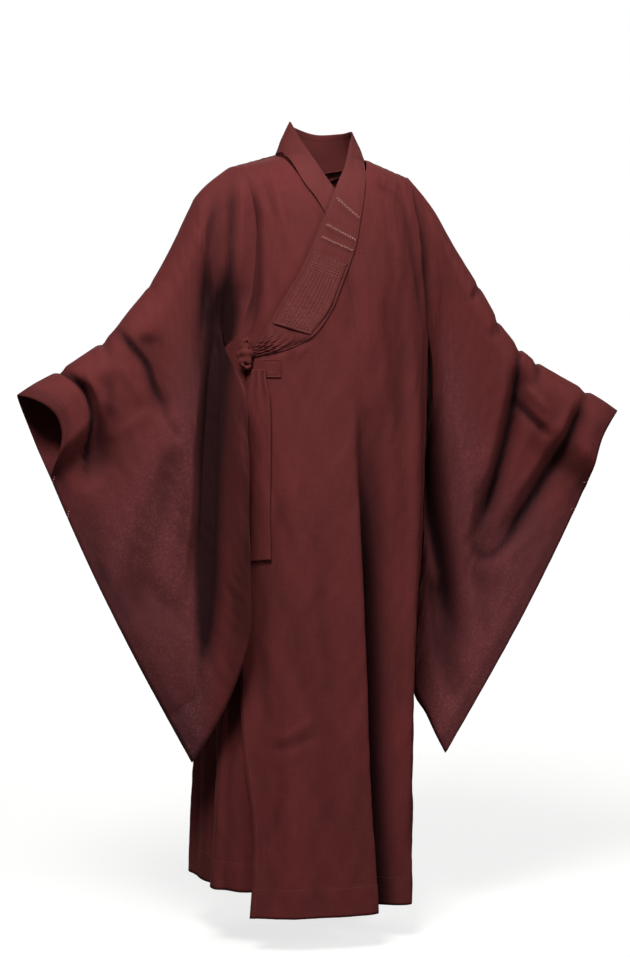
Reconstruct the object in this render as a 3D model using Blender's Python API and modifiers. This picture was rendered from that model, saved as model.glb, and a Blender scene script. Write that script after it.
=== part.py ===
"""A long monk's robe with a crossed collar and bag sleeves, hollow, in the pose of being worn.

Metres, +Z up. The garment faces -Y and the wearer's left is +X. The origin is at the base of
the neck, where the shoulders carry the cloth.
"""
import math
from collections import namedtuple

import bpy
import numpy as np

# Cloth and seams
CLOTH_WALL = 0.0015
BAND_WALL = 0.0022
SEAM_GAP = 0.0010
LAP_CLEARANCE = 0.0008
LAYER_SPACING = 0.0070
NECK_STAND_OFF = 0.0025
ON_PANEL = CLOTH_WALL + LAP_CLEARANCE
INNER_HANG = 0.050

# Heights
CHEST_Z = -0.30
HEM_Z = -1.308
SHORT_HEM_RISE = 0.040

# Plan shape of the body: rings between a circle and a square, and the turn over the shoulders
RING_POWER = 2.3
SHOULDER_POWER = 2.5
NORMAL_STEP = 0.004

# Each half of the body is cut in one over the shoulder. Its solid is parted along that fold, this
# share of the turn up to it, so that each node is one plain curved wall.
SHOULDER_FOLD = 0.9984

Ring = namedtuple("Ring", "z half_width front_depth back_depth centre_x")
RINGS = (
    Ring(-1.33, 0.193, 0.160, 0.146, -0.034),
    Ring(-1.10, 0.190, 0.152, 0.138, -0.029),
    Ring(-0.85, 0.188, 0.144, 0.130, -0.018),
    Ring(-0.55, 0.190, 0.140, 0.122, -0.008),
    Ring(-0.30, 0.188, 0.136, 0.112, 0.000),
    Ring(0.03, 0.188, 0.136, 0.108, 0.000),
)

# The line along the top of the shoulders, from the wearer's right to the left
Crest = namedtuple("Crest", "x z")
SHOULDER_LINE = (
    Crest(-0.240, -0.046),
    Crest(-0.165, -0.018),
    Crest(-0.080, 0.006),
    Crest(0.075, -0.006),
    Crest(0.150, -0.032),
    Crest(0.240, -0.070),
)

# Folds of the body. Angles run from the front, positive to the wearer's left; flanks are how wide
# each side of the fold is; height is how far it stands out, or in where it is negative; it grows
# from top_z over the reach below it.
Fold = namedtuple("Fold", "top_angle top_z low_angle right_flank left_flank height reach")
BODY_FOLDS = (
    Fold(6, -0.45, 27.5, 0.070, 0.012, 0.012, 0.25),
    Fold(11.5, -0.45, 34, 0.012, 0.022, -0.046, 0.28),
    Fold(46, -0.30, 53, 0.020, 0.030, 0.014, 0.20),
    Fold(66, -0.45, 74, 0.018, 0.022, -0.016, 0.30),
    Fold(-16, -0.55, -14, 0.050, 0.050, 0.007, 0.30),
    Fold(-30, -0.50, -30, 0.026, 0.026, -0.006, 0.25),
    Fold(-58, -0.80, -60, 0.020, 0.014, 0.010, 0.25),
    Fold(-76, -0.70, -74, 0.024, 0.018, -0.012, 0.30),
    Fold(112, -0.45, 112, 0.028, 0.024, 0.014, 0.25),
    Fold(134, -0.30, 128, 0.020, 0.026, -0.024, 0.35),
    Fold(158, -0.35, 154, 0.034, 0.028, 0.016, 0.25),
    Fold(181, -0.40, 182, 0.026, 0.024, -0.020, 0.40),
    Fold(206, -0.30, 212, 0.028, 0.036, 0.015, 0.25),
    Fold(228, -0.40, 236, 0.026, 0.020, -0.022, 0.35),
    Fold(250, -0.45, 256, 0.026, 0.026, 0.013, 0.25),
)

# Where the front pieces meet: the seam hides in the trough beside the large front fold
CentreFront = namedtuple("CentreFront", "z angle")
OUTER_CENTRE_FRONT = (
    CentreFront(-1.32, 34.0),
    CentreFront(-0.45, 11.5),
    CentreFront(-0.32, 7.6),
    CentreFront(-0.20, 2.9),
)
INNER_CENTRE_FRONT_ANGLE = -2.0

# The outer overlap's free edge, at the wearer's right
FreeEdge = namedtuple("FreeEdge", "z x")
OVERLAP_FREE_EDGE = (
    FreeEdge(-1.33, -0.153),
    FreeEdge(-1.17, -0.146),
    FreeEdge(-1.00, -0.158),
    FreeEdge(-0.89, -0.160),
    FreeEdge(-0.75, -0.152),
    FreeEdge(-0.34, -0.142),
)

# Armholes: the body's edge, from the underarm over the chest to the shoulder. Height runs from
# zero at the chest line to one at the shoulder.
Armhole = namedtuple("Armhole", "height right_front left_front back")
ARMHOLES = (
    Armhole(-0.040, 90, 90, 90),
    Armhole(-0.030, 73, 79, 77),
    Armhole(-0.015, 62, 72, 70),
    Armhole(0.00, 56, 67, 65),
    Armhole(0.10, 50, 62, 60),
    Armhole(0.22, 47, 58, 56),
    Armhole(0.36, 45, 55, 53),
    Armhole(0.52, 45, 52, 51),
    Armhole(0.66, 46, 50, 50),
    Armhole(0.78, 48, 50, 50),
    Armhole(0.90, 53, 51, 52),
    Armhole(1.00, 59, 52, 54),
)

# The collar band, in stations from the outer end at the wearer's right, up round the neck and
# down to the inner end. The neck edge is the free one; the seam edge is sewn to the fronts and
# back. Where y or z is None, the point lies on the body at the other two.
Band = namedtuple("Band", "neck_x neck_y neck_z seam_x seam_y seam_z")
OUTER_BAND = (
    Band(-0.140, None, -0.326, -0.139, None, -0.342),
    Band(-0.128, None, -0.310, -0.092, None, -0.331),
    Band(-0.113, None, -0.284, -0.044, None, -0.306),
    Band(-0.093, None, -0.246, -0.014, None, -0.266),
    Band(-0.068, None, -0.204, 0.002, None, -0.229),
    Band(-0.047, None, -0.162, 0.019, None, -0.186),
    Band(-0.028, None, -0.119, 0.032, None, -0.150),
    Band(0.001, None, -0.060, 0.043, None, -0.101),
    Band(0.024, -0.078, -0.016, 0.055, None, -0.052),
)
NECK_BAND = (
    Band(0.042, -0.040, 0.024, 0.070, -0.026, None),
    Band(0.054, -0.002, 0.046, 0.0765, 0.006, None),
    Band(0.042, 0.036, 0.045, 0.060, 0.048, None),
    Band(0.000, 0.054, 0.044, 0.000, 0.0675, None),
    Band(-0.044, 0.036, 0.056, -0.064, 0.048, None),
    Band(-0.057, -0.002, 0.062, -0.0815, 0.006, None),
    Band(-0.047, -0.040, 0.030, -0.074, -0.026, None),
)
INNER_BAND = (
    Band(-0.024, -0.078, -0.014, -0.050, None, -0.046),
    Band(0.003, None, -0.060, -0.028, None, -0.080),
    Band(0.030, None, -0.116, -0.002, None, -0.136),
    Band(0.052, None, -0.162, 0.006, None, -0.190),
    Band(0.076, None, -0.208, 0.024, None, -0.236),
    Band(0.098, None, -0.250, 0.052, None, -0.284),
    Band(0.116, None, -0.290, 0.098, None, -0.318),
)

# Sleeves: rings from the armhole to the mouth, each hung between the arm's top line and the
# bottom edge. Arm is the half thickness round the arm, gap the half gap at the bottom, and skew
# turns a ring's bottom round the side of the body.
Sleeve = namedtuple("Sleeve", "along top_x top_y top_z low_x low_y low_z arm gap skew")
RIGHT_SLEEVE = (
    Sleeve(0.00, -0.168, 0.002, -0.018, -0.190, 0.000, -0.342, 0.055, 0.070, 0.30),
    Sleeve(0.06, -0.192, -0.003, -0.036, -0.195, -0.030, -0.352, 0.058, 0.074, 0.30),
    Sleeve(0.12, -0.217, -0.008, -0.057, -0.191, -0.070, -0.368, 0.060, 0.068, 0.30),
    Sleeve(0.20, -0.238, -0.014, -0.093, -0.177, -0.120, -0.410, 0.062, 0.044, 0.24),
    Sleeve(0.30, -0.264, -0.020, -0.145, -0.166, -0.152, -0.490, 0.062, 0.024, 0.10),
    Sleeve(0.46, -0.308, -0.030, -0.219, -0.163, -0.166, -0.620, 0.058, 0.019, 0.0),
    Sleeve(0.58, -0.346, -0.040, -0.264, -0.161, -0.169, -0.725, 0.055, 0.017, 0.0),
    Sleeve(0.70, -0.386, -0.050, -0.310, -0.160, -0.166, -0.815, 0.052, 0.014, 0.0),
    Sleeve(0.80, -0.433, -0.060, -0.342, -0.178, -0.154, -0.885, 0.046, 0.011, 0.0),
    Sleeve(0.88, -0.469, -0.066, -0.364, -0.198, -0.138, -0.940, 0.042, 0.008, 0.0),
    Sleeve(0.95, -0.514, -0.074, -0.387, -0.226, -0.118, -0.998, 0.038, 0.005, 0.0),
    Sleeve(1.00, -0.541, -0.080, -0.404, -0.250, -0.100, -1.040, 0.034, 0.0035, 0.0),
)
LEFT_SLEEVE = (
    Sleeve(0.00, 0.153, 0.002, -0.033, 0.190, 0.000, -0.342, 0.055, 0.064, 0.20),
    Sleeve(0.06, 0.172, 0.002, -0.052, 0.200, 0.006, -0.366, 0.057, 0.060, 0.14),
    Sleeve(0.12, 0.190, 0.002, -0.074, 0.208, 0.014, -0.415, 0.058, 0.045, 0.06),
    Sleeve(0.26, 0.232, -0.002, -0.145, 0.213, 0.038, -0.560, 0.060, 0.028, 0.0),
    Sleeve(0.46, 0.290, -0.012, -0.238, 0.208, 0.048, -0.715, 0.058, 0.022, 0.0),
    Sleeve(0.58, 0.328, -0.016, -0.300, 0.198, 0.046, -0.820, 0.055, 0.019, 0.0),
    Sleeve(0.70, 0.378, -0.020, -0.350, 0.188, 0.036, -0.900, 0.050, 0.015, 0.0),
    Sleeve(0.80, 0.430, -0.025, -0.382, 0.184, 0.020, -0.960, 0.045, 0.011, 0.0),
    Sleeve(0.88, 0.474, -0.028, -0.406, 0.191, -0.002, -0.990, 0.041, 0.008, 0.0),
    Sleeve(0.95, 0.512, -0.030, -0.428, 0.205, -0.020, -1.026, 0.037, 0.005, 0.0),
    Sleeve(1.00, 0.538, -0.031, -0.446, 0.220, -0.030, -1.058, 0.034, 0.0035, 0.0),
)
MOUTH_BOW = 0.016
HAND_OPENING = 0.27
RIGHT_CUFF_PULL = 0.050
LEFT_CUFF_PULL = 0.020

# Creases of the sleeves' front and back layers, along a bent line in the plane of x and z.
# Depth is how far the crease sinks, or rises where it is negative.
Crease = namedtuple("Crease", "start_x start_z end_x end_z bend near_flank far_flank depth")
RIGHT_SLEEVE_CREASES = (
    Crease(-0.168, -0.060, -0.238, -0.760, 0.012, 0.020, 0.024, 0.050),
    Crease(-0.140, -0.120, -0.170, -0.800, 0.010, 0.030, 0.026, -0.014),
    Crease(-0.205, -0.140, -0.268, -0.800, 0.000, 0.020, 0.034, 0.018),
    Crease(-0.265, -0.480, -0.370, -0.800, 0.014, 0.030, 0.020, 0.014),
    Crease(-0.468, -0.372, -0.412, -0.560, -0.030, 0.022, 0.016, 0.018),
    Crease(-0.330, -0.300, -0.300, -0.450, -0.010, 0.024, 0.020, 0.010),
)
RIGHT_SLEEVE_BACK_CREASES = (
    Crease(-0.200, -0.120, -0.262, -0.720, 0.010, 0.026, 0.030, 0.030),
    Crease(-0.300, -0.300, -0.350, -0.780, -0.012, 0.030, 0.026, 0.016),
    Crease(-0.430, -0.400, -0.340, -0.660, 0.020, 0.024, 0.030, 0.012),
)
LEFT_SLEEVE_CREASES = (
    Crease(0.180, -0.080, 0.258, -0.860, 0.022, 0.034, 0.020, 0.042),
    Crease(0.205, -0.740, 0.236, -0.980, -0.010, 0.020, 0.018, 0.014),
    Crease(0.352, -0.345, 0.276, -0.690, 0.020, 0.022, 0.026, 0.026),
    Crease(0.478, -0.415, 0.288, -0.710, 0.024, 0.022, 0.026, 0.020),
    Crease(0.300, -0.560, 0.300, -0.800, 0.010, 0.026, 0.026, 0.008),
)
LEFT_SLEEVE_BACK_CREASES = (
    Crease(0.215, -0.160, 0.262, -0.740, 0.010, 0.028, 0.030, 0.026),
    Crease(0.320, -0.320, 0.300, -0.760, 0.014, 0.030, 0.026, 0.018),
    Crease(0.450, -0.420, 0.330, -0.700, 0.020, 0.026, 0.026, 0.014),
)

# Ties at the wearer's right side
TIE_WIDTH = 0.034
TIE_WALL = 0.0020
TIE_TOP_Z = -0.3635
TIE_FRONT_X = -0.131
TIE_FRONT_END_Z = -0.690
TIE_BACK_X = -0.146
TIE_BACK_END_Z = -0.672
TIE_PATCH_X = -0.112
TIE_PATCH_Z = -0.362
TIE_PATCH_SIZE = 0.030
KNOT_CENTRE_X = -0.146
KNOT_CENTRE_Z = -0.338
KNOT_HALF_SIZES = (0.013, 0.009, 0.022)
KNOT_STAND_OFF = 0.0169
COLLAR_PATCH_SHARES = (0.08, 0.92)

# How the panels are divided
BODY_COLUMNS = 14
LOW_ROWS = 11
Division = namedtuple("Division", "rows columns power hem_rise")
OUTER_OVERLAP = Division(14, 15, 1.6, 0.0)
INNER_OVERLAP = Division(12, 9, 1.0, 0.030)
SLEEVE_RINGS = 22
BOTTOM_FOLD = 0.006
BAND_COLUMNS = 4
OUTER_STATIONS = 26
NECK_STATIONS = 19
INNER_STATIONS = 20
PATCH_STATIONS = 10
TIE_ROWS = 12
EDGE_LAP = 0.004
CENTRE_FRONT_TOP = -0.20
INNER_FREE_ANGLE = 70
FREE_EDGE_STAND_OFF = 0.012
LEFT_NECK_POINT = Crest(0.073, -0.0055)
RIGHT_NECK_POINT = Crest(-0.077, 0.0055)

# The back of the neck: the backs' inner edges, by how far they lie below the neck point, as a
# share of the way out to it
BackNeck = namedtuple("BackNeck", "drop share")
BACK_NECK = (
    BackNeck(0.000, 1.00),
    BackNeck(0.003, 0.96),
    BackNeck(0.014, 0.66),
    BackNeck(0.025, 0.0),
)

# Colours
MAROON = (0.100, 0.037, 0.034, 1.0)
MAROON_BAND = (0.112, 0.042, 0.038, 1.0)
CLOTH_ROUGHNESS = 0.85


def column(rows, name):
    """One named column of a table, as an array."""
    return np.array([getattr(row, name) for row in rows], float)


def smooth_line(at, knots, values):
    """Reads a smooth line through values at rising knots, held level past its ends."""
    slopes = np.gradient(values, knots)
    at = np.clip(at, knots[0], knots[-1])
    left = np.clip(np.searchsorted(knots, at) - 1, 0, len(knots) - 2)
    width = knots[left + 1] - knots[left]
    t = (at - knots[left]) / width
    return (
        values[left] * (1 + 2 * t) * (1 - t) ** 2
        + values[left + 1] * t**2 * (3 - 2 * t)
        + slopes[left] * width * t * (1 - t) ** 2
        - slopes[left + 1] * width * t**2 * (1 - t)
    )


def ease(value, start, end):
    """Rises smoothly from 0 at start to 1 at end."""
    t = np.clip((value - start) / (end - start), 0, 1)
    return t * t * (3 - 2 * t)


def ring_value(name, z):
    return smooth_line(z, column(RINGS, "z"), column(RINGS, name))


def shoulder_height(x):
    return np.interp(x, column(SHOULDER_LINE, "x"), column(SHOULDER_LINE, "z"))


def bare_body(theta, height):
    """The body before its folds. Theta is the angle from the front. Height is in metres below
    the chest line, and above it is the share of the turn up to the shoulder."""
    rise = np.sin(np.clip(height, 0, 1) * math.pi / 2) ** (2 / SHOULDER_POWER)
    turn = np.clip(np.cos(np.clip(height, 0, 1) * math.pi / 2), 0, 1) ** (2 / SHOULDER_POWER)
    ring_z = CHEST_Z + np.minimum(height, 0) - CHEST_Z * rise
    across = np.sign(np.sin(theta)) * np.abs(np.sin(theta)) ** (2 / RING_POWER)
    inward = np.sign(np.cos(theta)) * np.abs(np.cos(theta)) ** (2 / RING_POWER)
    x = ring_value("centre_x", ring_z) + ring_value("half_width", ring_z) * across
    depth = np.where(inward > 0, ring_value("front_depth", ring_z), ring_value("back_depth", ring_z))
    y = -depth * inward * turn
    z = CHEST_Z + np.minimum(height, 0) + (shoulder_height(x) - CHEST_Z) * rise
    return np.stack([x, y, z], -1)


def bare_normal(theta, height):
    """The outward direction of the body, from points a small step to each side."""
    height_step = np.where(height > 0, NORMAL_STEP * 4, NORMAL_STEP)
    height = np.minimum(height, 1 - NORMAL_STEP * 4)
    around = bare_body(theta + NORMAL_STEP, height) - bare_body(theta - NORMAL_STEP, height)
    upward = bare_body(theta, height + height_step) - bare_body(theta, height - height_step)
    normal = np.cross(around, upward)
    return normal / np.linalg.norm(normal, axis=-1, keepdims=True)


def fold_lift(theta, z):
    """How far the body's folds stand out at an angle and a height."""
    lift = np.zeros(np.broadcast(theta, z).shape)
    degrees = np.degrees(theta)
    radius = ring_value("half_width", z)
    for fold in BODY_FOLDS:
        share = np.clip((z - fold.top_z) / (HEM_Z - fold.top_z), -0.1, 1)
        centre = fold.top_angle + (fold.low_angle - fold.top_angle) * share
        off = np.radians((degrees - centre + 180) % 360 - 180) * radius
        flank = np.where(off < 0, fold.right_flank, fold.left_flank)
        fade = ease(-z, -fold.top_z - 0.08, -fold.top_z + fold.reach)
        lift = lift + fold.height * np.exp(-((off / flank) ** 2)) * fade
    return lift


def body_points(theta, height, lift=0.0, folded=1.0):
    """Points on the body's outer face, raised by lift."""
    theta, height = np.broadcast_arrays(np.asarray(theta, float), np.asarray(height, float))
    points = bare_body(theta, height)
    out = np.asarray(lift) + folded * fold_lift(theta, points[..., 2])
    return points + bare_normal(theta, height) * np.broadcast_to(out, theta.shape)[..., None]


def angle_of(x, z):
    """The angle at which the front of the body passes x."""
    share = (x - ring_value("centre_x", z)) / ring_value("half_width", z)
    return np.sign(share) * np.arcsin(np.clip(np.abs(share), 0, 1) ** (RING_POWER / 2))


def height_of(x, z):
    """The height value at which the body passes z at x."""
    share = np.clip((z - CHEST_Z) / (shoulder_height(x) - CHEST_Z), 0, 1)
    above = np.arcsin(share ** (SHOULDER_POWER / 2)) / (math.pi / 2)
    return np.where(z < CHEST_Z, z - CHEST_Z, above)


def place_on_front(x, z, lift=0.0):
    """The point of the front at x and z, raised by lift."""
    x, z = np.broadcast_arrays(np.asarray(x, float), np.asarray(z, float))
    return body_points(angle_of(x, z), height_of(x, z), lift)


def place_on_shoulder(x, y, lift=0.0):
    """The point of the shoulders at x and y, raised by lift."""
    front = np.asarray(y) < 0
    theta = angle_of(x, np.zeros_like(x))
    depth = np.where(front, ring_value("front_depth", 0.0), ring_value("back_depth", 0.0))
    turn = np.abs(y) / (depth * np.cos(theta) ** (2 / RING_POWER))
    height = np.arccos(np.clip(turn, 0, 1) ** (SHOULDER_POWER / 2)) / (math.pi / 2)
    return body_points(np.where(front, theta, np.sign(theta + 1e-9) * math.pi - theta), height, lift)


def overlap_lift(x):
    """The outer layer stands off the inner one, and this fades at the wearer's left."""
    return LAYER_SPACING / 2 * (1 - ease(x, 0.06, 0.15))


def folded_fully(x):
    return np.ones_like(x)


def folded_where_free(x):
    """The inner layer hangs plain where the outer one covers it."""
    return 1 - covered(x)


def covered(x):
    """How far the inner layer is under the outer one, which ends at the wearer's right."""
    return ease(x, -0.155, -0.095)


def under_lift(x, z):
    """The inner layer lies under the outer one, and hangs further in below the waist."""
    hang = INNER_HANG * covered(x) * ease(-z, 0.32, 0.60)
    beside_edge = np.exp(-(((x + 0.135) / 0.030) ** 2)) * ease(-z, 0.45, 0.80)
    under_left = 0.005 * ease(x, 0.02, 0.11)
    return -LAYER_SPACING / 2 * covered(x) - hang - 0.014 * beside_edge - under_left


def material(name, colour):
    made = bpy.data.materials.new(name)
    made.use_nodes = True
    shader = made.node_tree.nodes["Principled BSDF"]
    shader.inputs["Base Color"].default_value = colour
    shader.inputs["Roughness"].default_value = CLOTH_ROUGHNESS
    return made


def cloth(name, points, collection, finish, wall=CLOTH_WALL, closed=False, turned=False):
    """A wall of cloth whose outer face is a grid of points, in rows, thickened inwards. A grid
    that runs the other way round the body is turned, so that its faces still look out."""
    if turned:
        points = points[:, ::-1]
    rows, columns = points.shape[:2]
    faces = []
    for row in range(rows - 1):
        for column_ in range(columns if closed else columns - 1):
            right = (column_ + 1) % columns
            low, high = row * columns, (row + 1) * columns
            faces.append((low + column_, low + right, high + right, high + column_))
    mesh = bpy.data.meshes.new(name)
    mesh.from_pydata([tuple(p) for p in points.reshape(-1, 3)], [], faces)
    mesh.shade_smooth()
    mesh.materials.append(finish)
    piece = bpy.data.objects.new(name, mesh)
    wall_modifier = piece.modifiers.new("wall", "SOLIDIFY")
    wall_modifier.thickness = wall
    wall_modifier.offset = -1
    collection.objects.link(piece)
    return piece


def rise_share(height):
    return np.sin(np.clip(height, 0, 1) * math.pi / 2) ** (2 / SHOULDER_POWER)


def hem_rise(degrees, height):
    """How much higher the cloth lies near the hem, where the wearer's right side hangs shorter."""
    right_side = ease(degrees, -176, -120) * (1 - ease(degrees, -6, 10))
    return SHORT_HEM_RISE * right_side * ease(-height, 0.55, CHEST_Z - HEM_Z)


def armhole_angle(name, height):
    """The angle from the front, or for the back from the back, of an armhole's edge."""
    return np.radians(np.interp(height, column(ARMHOLES, "height"), column(ARMHOLES, name)))


def edge_at(z, rows, neck_point):
    """Where a front's or back's inner edge passes a height, from its table up to the neck."""
    heights = np.array([row[1] for row in rows] + [neck_point.z])
    places = np.array([row[0] for row in rows] + [neck_point.x])
    return np.interp(z, heights, places)


def left_centre_front(z):
    """The angle of the seam between the left front and the outer overlap."""
    return np.interp(z, column(OUTER_CENTRE_FRONT, "z"), column(OUTER_CENTRE_FRONT, "angle"))


def left_front_edge(z):
    """The angle of the left front's inner edge: the centre front, and then the band's seam."""
    rows = [(band.seam_x - EDGE_LAP, band.seam_z) for band in OUTER_BAND[5:]]
    along_band = np.degrees(angle_of(edge_at(z, rows, LEFT_NECK_POINT), z))
    return math.radians(left_centre_front(z) if z < CENTRE_FRONT_TOP else along_band)


def right_front_edge(z):
    """The angle of the right front's inner edge: the centre front, and then the band's seam."""
    rows = [(band.seam_x + EDGE_LAP, band.seam_z) for band in INNER_BAND[2::-1]]
    along_band = np.degrees(angle_of(edge_at(z, rows, RIGHT_NECK_POINT), z))
    return math.radians(min(INNER_CENTRE_FRONT_ANGLE, along_band))


def back_edge(z, neck_point):
    """The angle from the centre back of a back's inner edge."""
    reach = np.interp(neck_point.z - z, column(BACK_NECK, "drop"), column(BACK_NECK, "share"))
    return abs(angle_of(ring_value("centre_x", z) + abs(neck_point.x) * reach, z))


def panel_lift(x, z):
    """How far the left front stands off."""
    return overlap_lift(x)


def body_half(side, neck_point, front_edge, front_lift, fold_share, power):
    """Half of the body: its front, from the hem up to the shoulder fold, and its back, from the
    fold down to the hem."""
    front_hole = "left_front" if side > 0 else "right_front"
    low = np.linspace(HEM_Z - CHEST_Z, ARMHOLES[0].height, LOW_ROWS)[:-1]
    heights = np.concatenate([low, column(ARMHOLES, "height")[:-1], [SHOULDER_FOLD]])
    across = np.linspace(0, 1, BODY_COLUMNS) ** power
    gap = SEAM_GAP / 2 / RINGS[0].half_width
    front, back = [], []
    for height in heights:
        z = CHEST_Z + min(height, 0) + (neck_point.z - CHEST_Z) * rise_share(height)
        inner = front_edge(z) + side * gap
        outer = side * (armhole_angle(front_hole, height) - gap)
        theta = inner + (outer - inner) * across
        rise = hem_rise(np.degrees(theta), height)
        x = bare_body(theta, np.full_like(theta, height))[:, 0]
        front.append(body_points(theta, height + rise, front_lift(x, z), fold_share(x)))
        inner = side * (math.pi - back_edge(z, neck_point) - gap)
        back_hole = front_hole if height == SHOULDER_FOLD else "back"
        outer = side * (math.pi - armhole_angle(back_hole, height) + gap)
        theta = inner + (outer - inner) * across
        rise = hem_rise(np.degrees(theta), height)
        back.append(body_points(theta, height + rise))
    return np.array(front), np.array(back[::-1])


def seam_height(x, bands):
    """How high a panel reaches under a band's seam edge."""
    order = np.argsort(column(bands, "seam_x"))
    return np.interp(x, column(bands, "seam_x")[order], column(bands, "seam_z")[order]) + EDGE_LAP


def front_x(theta, z):
    """Where the front of the body passes x at an angle and a height."""
    across = np.sign(np.sin(theta)) * np.abs(np.sin(theta)) ** (2 / RING_POWER)
    return ring_value("centre_x", z) + ring_value("half_width", z) * across


def overlap(edges, lift, fold_share, division):
    """An overlap panel between two edges, from the hem up to the seam of its band."""
    first_edge, last_edge, bands = edges
    shares = 1 - (1 - np.linspace(0, 1, division.columns)) ** division.power
    top = np.full(division.columns, CHEST_Z)
    for _ in range(20):
        theta = first_edge(top) + (last_edge(top) - first_edge(top)) * shares
        top = (top + seam_height(front_x(theta, top), bands)) / 2
    points = []
    for share in np.linspace(0, 1, division.rows):
        z = HEM_Z + (top - HEM_Z) * share
        theta = first_edge(z) + (last_edge(z) - first_edge(z)) * shares
        x = front_x(theta, z)
        raised = height_of(x, z) + division.hem_rise * (1 - share) ** 2
        points.append(body_points(theta, raised, lift(x, z), fold_share(x)))
    return np.array(points)


def free_edge(z):
    """The angle of the outer overlap's free edge."""
    z = np.asarray(z, float)
    return angle_of(smooth_line(z, column(OVERLAP_FREE_EDGE, "z"), column(OVERLAP_FREE_EDGE, "x")), z)


def outer_seam_edge(z):
    gap = SEAM_GAP / 2 / RINGS[0].half_width
    return np.radians(left_centre_front(z)) - gap


def inner_seam_edge(z):
    gap = SEAM_GAP / 2 / RINGS[0].half_width
    return np.full_like(z, math.radians(INNER_CENTRE_FRONT_ANGLE) + gap)


def inner_free_edge(z):
    return np.full_like(z, math.radians(INNER_FREE_ANGLE))


def outer_panel_lift(x, z):
    """The outer overlap stands off the layer below, more so along its free edge."""
    beside_edge = (1 - ease(x, -0.165, -0.095)) * ease(-z, 0.50, 0.85)
    return overlap_lift(x) + FREE_EDGE_STAND_OFF * beside_edge


def band_points(bands, lift, stations, across):
    """A grid over a run of the collar band, from its neck edge to its seam edge."""
    index = np.arange(len(bands), dtype=float)
    at = np.linspace(0, len(bands) - 1, stations)
    edges = []
    for side in ("neck", "seam"):
        x, y, z = (column(bands, side + axis) for axis in ("_x", "_y", "_z"))
        on_body = np.isnan(y)
        on_shoulder = np.isnan(z)
        z = np.where(on_shoulder, 0.0, z)
        y = np.where(on_body, place_on_front(x, z, lift(x, z))[:, 1], y)
        raised = place_on_shoulder(x, np.where(on_shoulder, y, 0.0), lift(x, z))[:, 2]
        z = np.where(on_shoulder, raised, z)
        x, y, z = (smooth_line(at, index, values) for values in (x, y, z))
        flat = ease(np.interp(at, index, on_shoulder.astype(float)), 0, 1)
        raised = place_on_shoulder(x, np.where(flat > 0, y, 0.0), lift(x, z))[:, 2]
        edge = np.stack([x, y, z * (1 - flat) + raised * flat], -1)
        edges.append((edge, np.interp(at, index, on_body.astype(float))))
    (neck, neck_hug), (seam, seam_hug) = edges
    rows = []
    for share in across:
        free = neck + (seam - neck) * share
        hug = ease(neck_hug + (seam_hug - neck_hug) * share, 0, 1)[:, None]
        body = place_on_front(free[:, 0], free[:, 2], lift(free[:, 0], free[:, 2]))
        rows.append(free * (1 - hug) + body * hug)
    return np.stack(rows, 1)


def near_neck(z):
    """The band stands further off the cloth where that turns over the shoulders."""
    return NECK_STAND_OFF * ease(z, -0.13, -0.07)


def outer_band_lift(x, z):
    return outer_panel_lift(x, z) + BAND_WALL + LAP_CLEARANCE + near_neck(z)


def inner_band_lift(x, z):
    return under_lift(x, z) + BAND_WALL + LAP_CLEARANCE + near_neck(z)


def patch_lift(x, z):
    return outer_band_lift(x, z) + ON_PANEL


def collar():
    """The whole band: the outer run, the stand round the neck and the inner run."""
    across = np.linspace(0, 1, BAND_COLUMNS)
    outer = band_points(OUTER_BAND + NECK_BAND[:1], outer_band_lift, OUTER_STATIONS, across)
    neck = band_points(NECK_BAND, outer_band_lift, NECK_STATIONS, across)
    inner = band_points(NECK_BAND[-1:] + INNER_BAND, inner_band_lift, INNER_STATIONS, across)
    return np.concatenate([outer[:-1], neck, inner[1:]])


def crease_depth(x, z, creases):
    """How far the creases sink the cloth at x and z."""
    depth = np.zeros(np.broadcast(x, z).shape)
    for crease in creases:
        run_x, run_z = crease.end_x - crease.start_x, crease.end_z - crease.start_z
        length = math.hypot(run_x, run_z)
        share = ((x - crease.start_x) * run_x + (z - crease.start_z) * run_z) / length**2
        off = ((x - crease.start_x) * run_z - (z - crease.start_z) * run_x) / length
        off = off - crease.bend * 4 * share * (1 - share)
        flank = np.where(off < 0, crease.near_flank, crease.far_flank)
        ends = ease(share, -0.02, 0.16) * (1 - ease(share, 0.78, 1.04))
        depth = depth + crease.depth * np.exp(-((off / flank) ** 2)) * ends
    return depth


def armhole_ring(side):
    """The sleeve's first ring, on the body's own armhole edges, from the underarm up the front,
    over the shoulder and down the back. Between two of the body's points lies their middle."""
    heights = column(ARMHOLES, "height")
    front_hole = "left_front" if side > 0 else "right_front"
    lift = CLOTH_WALL + SEAM_GAP
    front = body_points(side * armhole_angle(front_hole, heights), heights, lift)
    back = body_points(side * (math.pi - armhole_angle("back", heights)), heights, lift)
    corners = np.concatenate([front, back[-2:0:-1]])
    middles = (corners + np.roll(corners, -1, axis=0)) / 2
    return np.stack([corners, middles], 1).reshape(-1, 3)


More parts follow.
